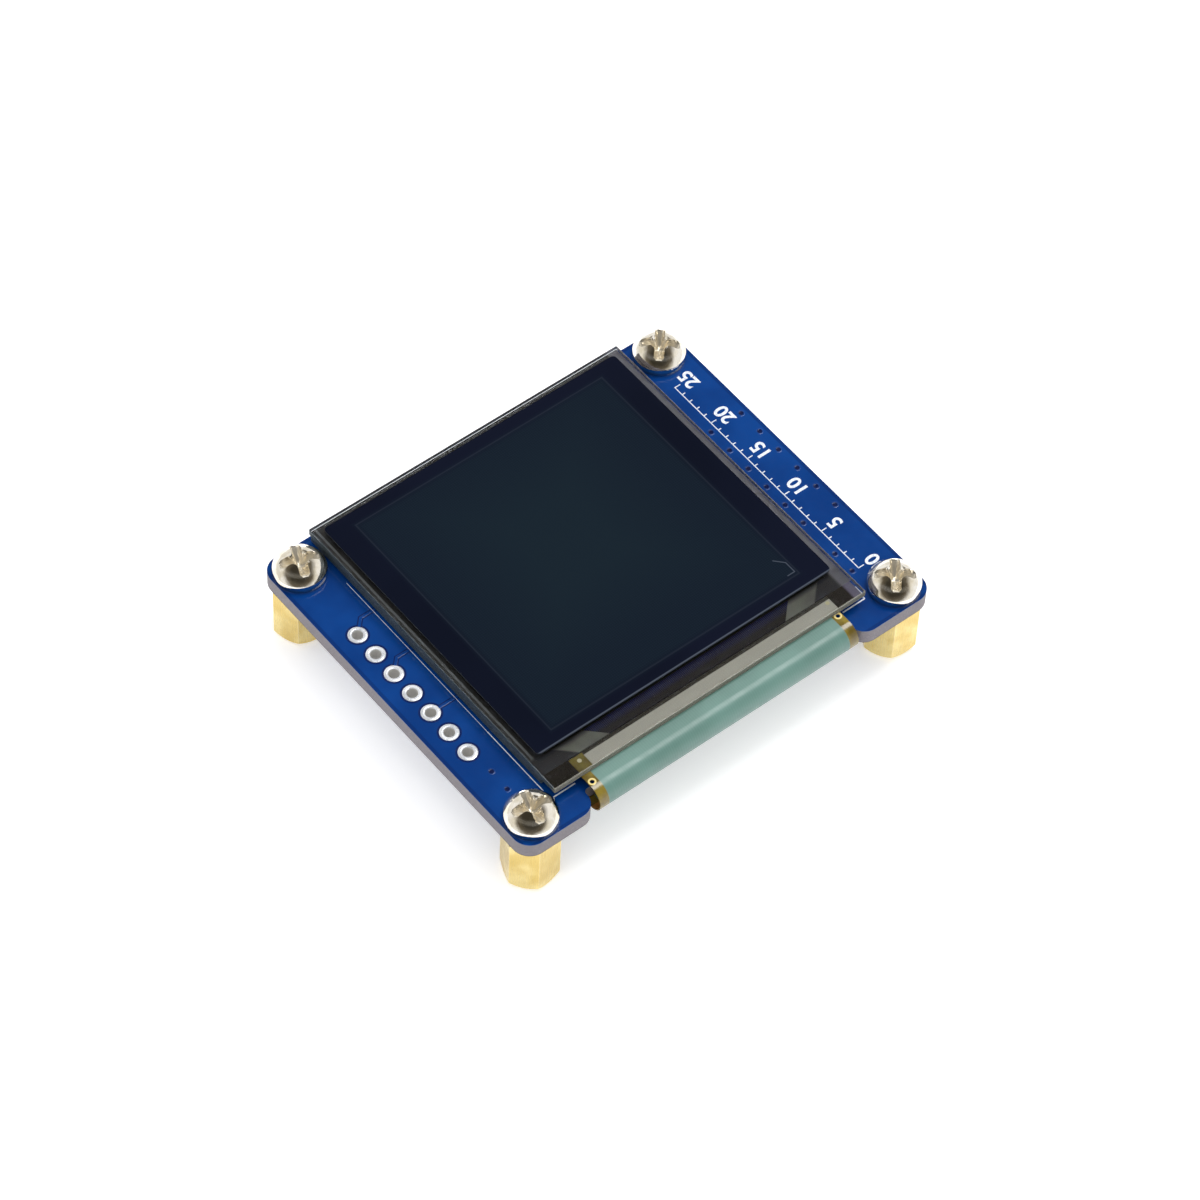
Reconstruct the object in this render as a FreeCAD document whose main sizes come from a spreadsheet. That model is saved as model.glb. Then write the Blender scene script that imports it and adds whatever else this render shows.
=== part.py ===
import FreeCAD, Part

import math
import os
import re

import Sketcher

# Small square display module, in millimetres.
# A glass display panel is taped to a circuit board. Its flexible film bends round the
# board's front edge and is soldered underneath. The board stands on four brass standoffs.
# The plating of the board's holes is part of the board.
#
# Frame: +Z up, z = 0 at the standoffs' feet, X and Y centred on the board.
# The film leaves the panel towards -Y, and the row of plated holes is at -X.

# Every size that can be set by itself is one line here, in millimetres or degrees.
SIZES = [
    # Display panel, from the bottom up
    ("panel_width", 33.8, "display glass along X"),
    ("panel_length", 34.0, "display glass along Y"),
    ("tape_thickness", 0.15, "double-sided tape under the cover glass"),
    ("tape_inset", 0.8, "tape edge inside the cover glass edge"),
    ("cover_thickness", 0.8, "cover glass"),
    ("cover_inset", 0.1, "cover glass edge inside the display glass edge"),
    ("ledge", 1.9, "bare ledge of the display glass in front of the cover glass"),
    ("seal_width", 1.6, "edge seal between the glasses, seen from above"),
    ("emitter_thickness", 0.03, "emitting layer with its cathode"),
    ("emitter_gap", 0.02, "emitting layer to the cover glass"),
    ("active_front", 1.39, "edge seal to the picture area, at the front"),
    ("active_side", 1.77, "edge seal to the picture area, at the sides"),
    ("active_rear", 0.55, "edge seal to the picture area, at the rear"),
    ("glass_thickness", 0.7, "display glass"),
    ("polarizer_front", 3.47, "glass front edge to the polarizer"),
    ("polarizer_side", 0.95, "glass side edge to the polarizer"),
    ("polarizer_rear", 0.83, "glass rear edge to the polarizer"),
    ("polarizer_thickness", 0.17, "polarizer"),
    ("polarizer_corner", 0.4, "corner radius of the polarizer"),
    # Circuit board
    ("board_thickness", 1.6, "circuit board"),
    ("board_corner", 1.7, "corner radius of the board"),
    ("mount_margin", 2.5, "mounting hole centre to the board edges"),
    ("mount_hole", 2.8, "mounting hole"),
    ("head_gap_left", 0.12, "screw head to the glass, at the hole row's side"),
    ("head_gap_right", 0.78, "screw head to the glass, at the other side"),
    ("panel_setback", 2.63, "board front edge to the glass front edge"),
    ("panel_rear", 0.37, "glass rear edge to the board rear edge"),
    ("film_side_gap", 0.3, "film edge to the side of the notch"),
    ("notch_floor_gap", 0.57, "start of the film's bend to the floor of the notch"),
    ("notch_inner", 0.4, "inner corner radius of the notch"),
    ("notch_straight", 0.1, "straight stretch of the notch's side between its roundings"),
    # Row of plated holes
    ("hole_pitch", 2.54, "pitch of the row"),
    ("hole_count", 7, "holes in the row"),
    ("hole_bore", 1.0, "bore, inside its plating"),
    ("row_margin", 2.35, "row to the board's left edge"),
    # Standoffs
    ("standoff_length", 6.0, "standoff"),
    ("standoff_flats", 4.5, "standoff across flats"),
    ("standoff_bore", 2.1, "threaded bore, drawn at its core where it is free"),
    ("thread_crest", 2.5, "bore where the screw fills it, drawn at the thread's crest"),
    ("free_thread", 3.2, "free length of thread at the foot"),
    ("hex_inset", 0.3, "flat ring on the foot, inside the flats, where the turned chamfer starts"),
    ("hex_chamfer", 45, "angle of the turned chamfer"),
    ("hex_turn_front_left", 38.6, "direction of a flat"),
    ("hex_turn_front_right", 26.9, "direction of a flat"),
    ("hex_turn_back_left", 18.6, "direction of a flat"),
    ("hex_turn_back_right", 40, "direction of a flat"),
    # Screws
    ("head_diameter", 4.8, "pan head"),
    ("head_side", 0.7, "straight side of the head"),
    ("head_shoulder", 1.2, "shoulder radius"),
    ("crown_radius", 4.2, "crown of the head"),
    ("shank_length", 4.0, "shank under the head"),
    ("thread_gap", 0.03, "shank to the bore round it, both drawn at the thread's crest"),
    ("recess_depth", 1.6, "cross recess"),
    ("mouth_span", 3.7, "cross recess level with the top of the crown, tip to tip"),
    ("mouth_wing", 1.2, "wing width there"),
    ("mouth_web", 0.3, "corner web between two wings there"),
    ("floor_span", 1.3, "floor of the recess, tip to tip"),
    ("floor_wing", 0.32, "wing width there"),
    ("floor_web", 0.1, "corner web there"),
    ("cross_turn_front_left", 78.9, "direction of a wing"),
    ("cross_turn_front_right", 52, "direction of a wing"),
    ("cross_turn_back_left", 71, "direction of a wing"),
    ("cross_turn_back_right", 49, "direction of a wing"),
    # Film
    ("film_width", 28.1, "film where it is bonded"),
    ("film_thickness", 0.1, "film"),
    ("bond_gap", 0.1, "film's bonded end to the cover glass"),
    ("film_lead", 1.2, "film in front of the glass, before the bend"),
    ("film_hole", 0.4, "tooling hole in the film"),
    ("film_hole_edge", 0.4, "tooling hole centre to the film edge"),
    ("film_hole_left", 0.3, "left tooling hole centre to the start of the bend"),
    ("film_hole_right", 1.0, "right tooling hole centre to the start of the bend"),
    ("tail_shoulder", 7.6, "start of the bend to the film's shoulder, under the board"),
    ("tail_length", 14.2, "start of the bend to the end of the tail"),
    ("tail_corner", 0.8, "corner radii of the tail"),
    ("adhesive_thickness", 0.1, "adhesive strip between the tail and the board"),
    ("adhesive_side", 1.25, "film edge to the adhesive strip"),
    ("adhesive_start", 1.2, "start of the bend to the adhesive strip"),
    ("adhesive_stop", 0.6, "adhesive strip to the film's shoulder"),
    ("driver_width", 13.6, "driver chip along X"),
    ("driver_length", 1.7, "driver chip along Y"),
    ("driver_thickness", 0.4, "driver chip"),
    ("driver_start", 3.1, "start of the bend to the driver chip"),
    ("joint_count", 24, "solder joints of the tail"),
    ("joint_pitch", 0.65, "pitch of the solder joints"),
    ("joint_width", 0.35, "solder joint along X"),
    ("joint_length", 1.4, "solder joint along Y"),
    ("joint_side", 0.65, "outer solder joint to the side of the tail"),
    ("joint_end", 0.4, "solder joint to the end of the tail"),
    # Rows of components under the board
    ("row_start", 9.3, "left end of the rows to the middle of the board"),
    ("tail_gap", 2.8, "end of the tail to the first component"),
    ("part_gap", 1.5, "between neighbouring components"),
    # Moulded packages
    ("package_length", 2.9, "regulator and converter body"),
    ("package_width", 1.6, "regulator and converter body"),
    ("package_height", 1.1, "regulator and converter, over the board"),
    ("package_pitch", 0.95, "their lead pitch"),
    ("package_lead_count", 3, "their leads on each side"),
    ("diode_length", 1.25, "diode body across its leads"),
    ("diode_width", 1.7, "diode body along its leads"),
    ("diode_height", 0.95, "diode, over the board"),
    ("diode_lead_count", 1, "its leads on each side"),
    ("mould_draft", 7, "draft of the moulded bodies"),
    ("mould_rise", 0.08, "bottom of the moulded bodies to the board"),
    ("lead_width", 0.4, "lead"),
    ("lead_thickness", 0.15, "lead"),
    ("lead_setoff", 0.07, "body to the inside of the lead's riser"),
    ("lead_foot", 0.38, "lead's foot outside its riser"),
    # Inductor
    ("inductor_side", 4.0, "square shield"),
    ("inductor_height", 1.8, "shield"),
    ("inductor_corner", 0.5, "leg of the shield's cut corners"),
    ("inductor_wall", 0.25, "thinnest wall of the shield round its opening"),
    ("drum_gap", 0.1, "shield to the drum's flange"),
    ("drum_post", 1.6, "post of the drum core"),
    ("drum_flange", 0.4, "flange of the drum core"),
    ("winding_gap", 0.1, "winding to the post, the flange, the board and the shield"),
    # Chip capacitors and resistors
    ("large_length", 2.0, "large capacitor"),
    ("large_width", 1.25, "large capacitor"),
    ("large_height", 1.2, "large capacitor"),
    ("small_length", 1.6, "small capacitor and resistor"),
    ("small_width", 0.8, "small capacitor and resistor"),
    ("capacitor_height", 0.8, "small capacitor"),
    ("resistor_height", 0.45, "resistor"),
    ("chip_end", 0.35, "metal end of a chip"),
    ("chip_step", 0.03, "metal end above the ceramic"),
]

doc = FreeCAD.newDocument("display_module")
sheet = doc.addObject("Spreadsheet::Sheet", "sizes")
for row, (alias, number, note) in enumerate(SIZES, start=1):
    sheet.set(f"A{row}", note)
    sheet.set(f"B{row}", str(number))
    sheet.setAlias(f"B{row}", alias)
doc.recompute()

ALIASES = {alias for alias, number, note in SIZES}

# Two places closer than this are the same place.
CLOSE = 0.001

# Places and sizes that follow from the sheet.
MOUNT_X = "(panel_width + head_diameter + head_gap_left + head_gap_right) / 2"
BOARD_RIGHT = f"({MOUNT_X} + mount_margin)"
BOARD_BACK = "((panel_length + panel_setback + panel_rear) / 2)"
MOUNT_Y = f"({BOARD_BACK} - mount_margin)"
ROW_X = f"(row_margin - {BOARD_RIGHT})"
UNDERSIDE = "standoff_length"
TOP = "(standoff_length + board_thickness)"

PANEL_X = "((head_gap_left - head_gap_right) / 2)"
PANEL_FRONT = f"(panel_setback - {BOARD_BACK})"
HALF_COVER = "(panel_width / 2 - cover_inset)"
COVER_BACK = "(panel_length - cover_inset)"
SEAL_THICKNESS = "(emitter_thickness + emitter_gap)"
COVER_BOTTOM = f"({TOP} + tape_thickness)"
GLASS_BOTTOM = f"({COVER_BOTTOM} + cover_thickness + {SEAL_THICKNESS})"

BEND_Y = f"({PANEL_FRONT} - film_lead)"
NOTCH_HALF = "(film_width / 2 + film_side_gap)"
NOTCH_FLOOR = f"({BEND_Y} + notch_floor_gap)"
TAIL_TOP = f"({UNDERSIDE} - adhesive_thickness)"
TAIL_BOTTOM = f"({TAIL_TOP} - film_thickness)"
TAIL_WIDTH = "((joint_count - 1) * joint_pitch + joint_width + 2 * joint_side)"

LEAD_REACH = "(lead_setoff + lead_thickness + lead_foot)"
RESISTOR_ROW = f"({BEND_Y} + tail_length + tail_gap + small_width / 2)"
FRONT_ROW = f"({RESISTOR_ROW} + small_width / 2 + part_gap + {LEAD_REACH} + package_width / 2)"
BACK_ROW = f"({FRONT_ROW} + diode_width / 2 + {LEAD_REACH} + part_gap + inductor_side / 2)"
CAPACITOR_ROW = f"({BACK_ROW} + package_width / 2 + {LEAD_REACH} + part_gap + large_width / 2)"

CORNERS = [
    ("front_left", -1, -1),
    ("front_right", 1, -1),
    ("back_left", -1, 1),
    ("back_right", 1, 1),
]


def full(expression):
    """The expression, with each size led by the sheet's name."""
    return re.sub(r"[a-z_]+", lambda word: f"sizes.{word[0]}" if word[0] in ALIASES else word[0], expression)


def value(expression):
    """The number that an expression in the sizes stands for."""
    return float(sheet.evalExpression(full(expression)))


def bind(thing, name, expression):
    """Ties one property to an expression in the sizes."""
    thing.setExpression(name, full(expression))


sub_parts = []


def place(thing, label, x="0", y="0", z="0", turn=None):
    """Labels a sub-part, and ties its place and its turn about Z to the sizes."""
    thing.Label = label
    for axis, expression in zip("xyz", (x, y, z)):
        bind(thing, f"Placement.Base.{axis}", expression)
    if turn:
        thing.Placement.Rotation = FreeCAD.Rotation(FreeCAD.Vector(0, 0, 1), value(turn))
        bind(thing, "Placement.Rotation.Angle", turn)
    sub_parts.append(thing)


def hang(thing, label, x, y, sideways=False):
    """Hangs a component, drawn as it would stand on z = 0, from the board's underside."""
    over = FreeCAD.Rotation(FreeCAD.Vector(1, 0, 0), 180)
    quarter = FreeCAD.Rotation(FreeCAD.Vector(0, 0, 1), 90)
    rotation = quarter * over if sideways else over
    thing.Placement = FreeCAD.Placement(FreeCAD.Vector(), rotation)
    place(thing, label, x, y, UNDERSIDE)


# Sketches and features

def new_body(name):
    return doc.addObject("PartDesign::Body", name)


def new_sketch(body, name, role="XY_Plane", lift=None):
    """A sketch on one of the body's own origin planes, lifted along the plane's normal."""
    sketch = body.newObject("Sketcher::SketchObject", name)
    plane = next(feature for feature in body.Origin.OriginFeatures if feature.Role == role)
    sketch.AttachmentSupport = (plane, [""])
    sketch.MapMode = "FlatFace"
    if lift:
        bind(sketch, "AttachmentOffset.Base.z", lift)
    return sketch


def constrain(sketch, name, kind, geometry, expression, point=None):
    """Adds one named dimension and ties it to an expression."""
    number = value(expression)
    if point is None:
        index = sketch.addConstraint(Sketcher.Constraint(kind, geometry, number))
    else:
        index = sketch.addConstraint(Sketcher.Constraint(kind, geometry, point, number))
    sketch.renameConstraint(index, name)
    bind(sketch, f"Constraints.{name}", expression)


def pin_point(sketch, name, geometry, point, x, y):
    """Ties a point of the sketch to a place."""
    constrain(sketch, f"{name}_x", "DistanceX", geometry, x, point)
    constrain(sketch, f"{name}_y", "DistanceY", geometry, y, point)


def outline(sketch, name, corners, arcs=()):
    """Closed outline through corners.

    Each corner is a pair of expressions. arcs names the stretches that are round: the stretch's
    number, the expression of its centre's first coordinate, and a pair of expressions for a point
    on it.
    """
    round_ones = {number: (centre, middle) for number, centre, middle in arcs}
    points = [FreeCAD.Vector(value(x), value(y), 0) for x, y in corners]
    first = sketch.GeometryCount
    starts = []
    ends = []
    for number, start in enumerate(points):
        end = points[(number + 1) % len(points)]
        geometry = first + number
        if number in round_ones:
            middle = FreeCAD.Vector(*[value(part) for part in round_ones[number][1]], 0)
            sketch.addGeometry(Part.Arc(start, middle, end), False)
            turns_left = (middle - start).cross(end - middle).z > 0
            starts.append((geometry, 1 if turns_left else 2))
            ends.append((geometry, 2 if turns_left else 1))
        else:
            sketch.addGeometry(Part.LineSegment(start, end), False)
            starts.append((geometry, 1))
            ends.append((geometry, 2))
    for number, end in enumerate(ends):
        start = starts[(number + 1) % len(points)]
        sketch.addConstraint(Sketcher.Constraint("Coincident", *end, *start))
    for number, (x, y) in enumerate(corners):
        pin_point(sketch, f"{name}{number}", *starts[number], x, y)
    for number, (centre, middle) in round_ones.items():
        constrain(sketch, f"{name}{number}_centre", "DistanceX", first + number, centre, 3)


def rectangle(sketch, name, left, right, front, back):
    outline(sketch, name, [(left, front), (right, front), (right, back), (left, back)])


def circle(sketch, name, x, y, diameter):
    index = sketch.GeometryCount
    centre = FreeCAD.Vector(value(x), value(y), 0)
    sketch.addGeometry(Part.Circle(centre, FreeCAD.Vector(0, 0, 1), value(diameter) / 2), False)
    pin_point(sketch, name, index, 3, x, y)
    constrain(sketch, f"{name}_diameter", "Diameter", index, diameter)


def pad(body, sketch, name, length, draft=None, down=False):
    feature = body.newObject("PartDesign::Pad", name)
    feature.Profile = sketch
    feature.Reversed = down
    bind(feature, "Length", length)
    if draft:
        bind(feature, "TaperAngle", draft)
    doc.recompute()
    return feature


def pocket(body, sketch, name, length, up=False):
    """Cuts from the sketch's plane against its normal, or along it if up."""
    feature = body.newObject("PartDesign::Pocket", name)
    feature.Profile = sketch
    feature.Reversed = up
    bind(feature, "Length", length)
    doc.recompute()
    return feature


def revolve(body, sketch, name, cut=False):
    """Turns the sketch a full turn about the body's Z axis."""
    kind = "PartDesign::Groove" if cut else "PartDesign::Revolution"
    feature = body.newObject(kind, name)
    feature.Profile = sketch
    feature.ReferenceAxis = (sketch, ["V_Axis"])
    feature.Angle = 360
    doc.recompute()
    return feature


def row_of(body, feature, name, direction, pitch, count):
    """Repeats a feature along one of the body's axes."""
    pattern = body.newObject("PartDesign::LinearPattern", name)
    pattern.Originals = [feature]
    pattern.Direction = direction
    bind(pattern, "Length", f"{pitch} * ({count} - 1)")
    bind(pattern, "Occurrences", count)
    body.Tip = pattern


def fillet(body, base, name, radius, wanted):
    """Rounds the edges of the last feature for which wanted(edge) is true."""
    edges = [f"Edge{number}" for number, edge in enumerate(base.Shape.Edges, start=1) if wanted(edge)]
    if not edges:
        raise RuntimeError(f"no edge for {name}")
    feature = body.newObject("PartDesign::Fillet", name)
    feature.Base = (base, edges)
    bind(feature, "Radius", radius)
    doc.recompute()
    return feature


def upright_at(places):
    """A test for straight edges along Z that stand at one of the places in plan."""
    spots = [(value(x), value(y)) for x, y in places]

    def wanted(edge):
        if edge.Degenerated or not isinstance(edge.Curve, Part.Line) or abs(edge.Curve.Direction.z) < 0.99:
            return False
        spot = edge.Vertexes[0].Point
        return any(math.hypot(spot.x - x, spot.y - y) < CLOSE for x, y in spots)

    return wanted


# Circuit board

def circuit_board():
    """Board with rounded corners, a shallow notch for the film, four mounting holes and a row of holes."""
    body = new_body("circuit_board")
    blank_sketch = new_sketch(body, "board_blank")
    left = f"-{BOARD_RIGHT}"
    front = f"-{BOARD_BACK}"
    rectangle(blank_sketch, "edge", left, BOARD_RIGHT, front, BOARD_BACK)
    pad(body, blank_sketch, "board_pad", "board_thickness")

    notch_left = f"({PANEL_X} - {NOTCH_HALF})"
    notch_right = f"({PANEL_X} + {NOTCH_HALF})"
    notch_sketch = new_sketch(body, "board_notch", lift="board_thickness")
    rectangle(notch_sketch, "notch", notch_left, notch_right, f"{front} - board_corner", NOTCH_FLOOR)
    notch = pocket(body, notch_sketch, "notch_pocket", "board_thickness")

    corners = [(x, y) for x in (left, BOARD_RIGHT) for y in (front, BOARD_BACK)]
    rounded = fillet(body, notch, "board_corners", "board_corner", upright_at(corners))
    ears = [(notch_left, front), (notch_right, front)]
    ear_corner = f"{NOTCH_FLOOR} - {front} - notch_inner - notch_straight"
    rounded = fillet(body, rounded, "ear_corners", ear_corner, upright_at(ears))
    inner = [(notch_left, NOTCH_FLOOR), (notch_right, NOTCH_FLOOR)]
    fillet(body, rounded, "notch_corners", "notch_inner", upright_at(inner))

    mount_sketch = new_sketch(body, "board_mount_holes", lift="board_thickness")
    for name, side_x, side_y in CORNERS:
        x = f"{side_x} * {MOUNT_X}"
        y = f"{side_y} * {MOUNT_Y}"
        circle(mount_sketch, name, x, y, "mount_hole")
    pocket(body, mount_sketch, "mount_hole_pocket", "board_thickness")

    row_sketch = new_sketch(body, "board_first_hole", lift="board_thickness")
    circle(row_sketch, "hole", ROW_X, "-hole_pitch * (hole_count - 1) / 2", "hole_bore")
    first_hole = pocket(body, row_sketch, "first_hole_pocket", "board_thickness")
    row_of(body, first_hole, "hole_row", (row_sketch, ["V_Axis"]), "hole_pitch", "hole_count")
    place(body, "circuit_board", z=UNDERSIDE)


# Standoffs and screws

def standoff(corner, side_x, side_y):
    """Hexagonal bar with a threaded bore right through, and a chamfer turned on its foot."""
    body = new_body(f"standoff_{corner}")
    hexagon = new_sketch(body, f"hexagon_{corner}")
    flat = "standoff_flats / 2"
    half_side = "standoff_flats / 2 * tan(30)"
    tip = "standoff_flats / 2 / cos(30)"
    outline(hexagon, "corner", [
        (flat, f"-{half_side}"),
        (flat, half_side),
        ("0", tip),
        (f"-{flat}", half_side),
        (f"-{flat}", f"-{half_side}"),
        ("0", f"-{tip}"),
    ])
    pad(body, hexagon, f"bar_{corner}", "standoff_length")

    bore = new_sketch(body, f"bore_{corner}", lift="standoff_length")
    circle(bore, "bore", "0", "0", "standoff_bore")
    pocket(body, bore, f"bore_pocket_{corner}", "standoff_length")
    filled = new_sketch(body, f"filled_{corner}", lift="standoff_length")
    circle(filled, "filled", "0", "0", "thread_crest")
    pocket(body, filled, f"filled_pocket_{corner}", "standoff_length - free_thread")

    foot = new_sketch(body, f"foot_{corner}", "XZ_Plane")
    outside = "standoff_flats"
    land = "(standoff_flats / 2 - hex_inset)"
    rise = f"({outside} - {land}) * tan(hex_chamfer)"
    outline(foot, "foot", [(land, "0"), (outside, "0"), (outside, rise)])
    revolve(body, foot, f"foot_chamfer_{corner}", cut=True)
    x = f"{side_x} * {MOUNT_X}"
    y = f"{side_y} * {MOUNT_Y}"
    place(body, f"standoff_{corner}", x=x, y=y, turn=f"hex_turn_{corner}")


def negative(expression):
    return expression[1:] if expression.startswith("-") else f"-{expression}"


def cross(sketch, name):
    """Cross of four wings whose inner corners are cut off by webs, from the sizes that start with name."""
    tip = f"{name}_span / 2"
    side = f"{name}_wing / 2"
    web = f"({name}_wing / 2 + {name}_web)"
    quarter = [(tip, side), (web, side), (side, web), (side, tip)]
    corners = list(quarter)
    for turn in range(3):
        quarter = [(negative(y), x) for x, y in quarter]
        corners += quarter
    outline(sketch, name, corners)


def screw(corner, side_x, side_y):
    """Pan head screw with a cross recess. Its thread is drawn at its crest.

    The crown's arc is centred on the axis, and the shoulder's arc is tangent to it and to the side.
    """
    body = new_body(f"screw_{corner}")
    profile = new_sketch(body, f"screw_profile_{corner}", "XZ_Plane")
    rim = "head_diameter / 2"
    crest = "thread_crest / 2 - thread_gap"
    shoulder_x = "(head_diameter / 2 - head_shoulder)"
    between = "(crown_radius - head_shoulder)"
    lean = f"acos({shoulder_x} / {between})"
    crown_z = f"(head_side - {between} * sin({lean}))"
    top = f"({crown_z} + crown_radius)"
    halfway = f"({lean} + 90 deg) / 2"
    outline(profile, "corner", [
        ("0", "-shank_length"),
        (crest, "-shank_length"),
        (crest, "0"),
        (rim, "0"),
        (rim, "head_side"),
        (f"crown_radius * cos({lean})", f"{crown_z} + crown_radius * sin({lean})"),
        ("0", top),
    ], arcs=[
        (4, shoulder_x, (f"{shoulder_x} + head_shoulder * cos({lean} / 2)",
                         f"head_side + head_shoulder * sin({lean} / 2)")),
        (5, "0", (f"crown_radius * cos({halfway})", f"{crown_z} + crown_radius * sin({halfway})")),
    ])
    revolve(body, profile, f"screw_turned_{corner}")

    mouth = new_sketch(body, f"recess_mouth_{corner}", lift=top)
    cross(mouth, "mouth")
    floor = new_sketch(body, f"recess_floor_{corner}", lift=f"{top} - recess_depth")
    cross(floor, "floor")
    recess = body.newObject("PartDesign::SubtractiveLoft", f"recess_{corner}")
    recess.Profile = mouth
    recess.Sections = [floor]
    recess.Ruled = True
    doc.recompute()
    x = f"{side_x} * {MOUNT_X}"
    y = f"{side_y} * {MOUNT_Y}"
    place(body, f"screw_{corner}", x=x, y=y, z=TOP, turn=f"cross_turn_{corner}")


# Display panel

def slab(label, left, right, front, back, bottom, thickness, corner=None):
    """A flat rectangular piece, with rounded corners if corner is given."""
    body = new_body(label)
    sketch = new_sketch(body, f"{label}_outline")
    rectangle(sketch, "edge", left, right, front, back)
    padded = pad(body, sketch, f"{label}_pad", thickness)
    if corner:
        spots = [(x, y) for x in (left, right) for y in (front, back)]
        fillet(body, padded, f"{label}_corners", corner, upright_at(spots))
    place(body, label, x=PANEL_X, y=PANEL_FRONT, z=bottom)
    return body


def display_panel():
    """Tape, cover glass, seal, emitting layer, display glass and polarizer, from the board up."""
    slab("mounting_tape", f"tape_inset - {HALF_COVER}", f"{HALF_COVER} - tape_inset",
         "ledge + tape_inset", f"{COVER_BACK} - tape_inset", TOP, "tape_thickness")
    slab("cover_glass", f"-{HALF_COVER}", HALF_COVER, "ledge", COVER_BACK, COVER_BOTTOM, "cover_thickness")

    seal = slab("edge_seal", f"-{HALF_COVER}", HALF_COVER, "ledge", COVER_BACK,
                f"{COVER_BOTTOM} + cover_thickness", SEAL_THICKNESS)
    window = new_sketch(seal, "seal_window", lift=SEAL_THICKNESS)
    rectangle(window, "edge", f"seal_width - {HALF_COVER}", f"{HALF_COVER} - seal_width",
              "ledge + seal_width", f"{COVER_BACK} - seal_width")
    pocket(seal, window, "seal_pocket", SEAL_THICKNESS)

    half_active = f"({HALF_COVER} - seal_width - active_side)"
    emitter_bottom = f"{GLASS_BOTTOM} - emitter_thickness"
    slab("emitter_layer", f"-{half_active}", half_active, "ledge + seal_width + active_front",
         f"{COVER_BACK} - seal_width - active_rear", emitter_bottom, "emitter_thickness")
    slab("display_glass", "-panel_width / 2", "panel_width / 2", "0", "panel_length",
         GLASS_BOTTOM, "glass_thickness")
    half_polarizer = "(panel_width / 2 - polarizer_side)"
    slab("polarizer", f"-{half_polarizer}", half_polarizer, "polarizer_front",
         "panel_length - polarizer_rear", f"{GLASS_BOTTOM} + glass_thickness",
         "polarizer_thickness", corner="polarizer_corner")


# Film and what it carries

def display_film():
    """Film bonded under the ledge, bent half a turn round the board's edge, with a narrower tail.

    Its body's Y axis starts where the bend starts, and its z = 0 is the film's lowest face.
    """
    body = new_body("display_film")
    profile = new_sketch(body, "film_profile", "YZ_Plane", lift="-film_width / 2")
    rise = f"({GLASS_BOTTOM} - {TAIL_BOTTOM})"
    outer = f"({rise} / 2)"
    inner = f"({outer} - film_thickness)"
    inner_top = f"{rise} - film_thickness"
    bonded = "film_lead + ledge - bond_gap"
    outline(profile, "corner", [
        (bonded, rise),
        ("0", rise),
        ("0", "0"),
        ("tail_length", "0"),
        ("tail_length", "film_thickness"),
        ("0", "film_thickness"),
        ("0", inner_top),
        (bonded, inner_top),
    ], arcs=[(1, "0", (f"-{outer}", outer)), (5, "0", (f"-{inner}", outer))])
    padded = pad(body, profile, "film_pad", "film_width")

    sides = new_sketch(body, "tail_sides")
    half_film = "film_width / 2"
    half_tail = f"{TAIL_WIDTH} / 2"
    for name, sign in (("left", "-"), ("right", "")):
        beyond = f"{sign}(film_width / 2 + tail_corner)"
        rectangle(sides, name, beyond, f"{sign}{half_tail}", "tail_shoulder", "tail_length + tail_corner")
    trimmed = pocket(body, sides, "tail_trim", "film_thickness", up=True)
    outer_spots = [(f"{sign}{half_film}", "tail_shoulder") for sign in ("", "-")]
    outer_spots += [(f"{sign}{half_tail}", "tail_length") for sign in ("", "-")]
    rounded = fillet(body, trimmed, "tail_outer_corners", "tail_corner", upright_at(outer_spots))
    inner_spots = [(f"{sign}{half_tail}", "tail_shoulder") for sign in ("", "-")]
    fillet(body, rounded, "tail_inner_corners", "tail_corner", upright_at(inner_spots))

    holes = new_sketch(body, "film_holes", lift=rise)
    for name, sign in (("left", "-"), ("right", "")):
        x = f"{sign}(film_width / 2 - film_hole_edge)"
        circle(holes, name, x, f"film_hole_{name}", "film_hole")
    pocket(body, holes, "film_hole_pocket", "film_thickness")
    place(body, "display_film", x=PANEL_X, y=BEND_Y, z=TAIL_BOTTOM)


def film_block(label, width, front, back, bottom, thickness):
    """A flat piece on the film's tail, between two distances behind the start of the bend."""
    body = new_body(label)
    sketch = new_sketch(body, f"{label}_outline")
    rectangle(sketch, "edge", f"-{width} / 2", f"{width} / 2", front, back)
    pad(body, sketch, f"{label}_pad", thickness)
    place(body, label, x=PANEL_X, y=BEND_Y, z=bottom)


def film_adhesive():
    width = "(film_width - 2 * adhesive_side)"
    back = "tail_shoulder - adhesive_stop"
    film_block("film_adhesive", width, "adhesive_start", back, TAIL_TOP, "adhesive_thickness")


def driver_chip():
    back = "driver_start + driver_length"
    bottom = f"{TAIL_BOTTOM} - driver_thickness"
    film_block("driver_chip", "driver_width", "driver_start", back, bottom, "driver_thickness")


def block(name, length, width, height, x="0", z="0"):
    """A box centred on X and Y at (x, 0), standing on z."""
    box = doc.addObject("Part::Box", name)
    bind(box, "Length", length)
    bind(box, "Width", width)
    bind(box, "Height", height)
    bind(box, "Placement.Base.x", f"{x} - ({length}) / 2")
    bind(box, "Placement.Base.y", f"-({width}) / 2")
    bind(box, "Placement.Base.z", z)
    return box


def tail_joints():
    """Solder joints in a row between the end of the tail and the board."""
    joints = []
    for number in range(int(value("joint_count"))):
        x = f"({number} - (joint_count - 1) / 2) * joint_pitch"
        name = f"tail_joint_{number + 1}"
        joints.append(block(name, "joint_width", "joint_length", "adhesive_thickness", x))
    row = doc.addObject("Part::Compound", "tail_joints")
    row.Links = joints
    y = f"{BEND_Y} + tail_length - joint_end - joint_length / 2"
    place(row, "tail_joints", x=PANEL_X, y=y, z=TAIL_TOP)


# Components under the board

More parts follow.
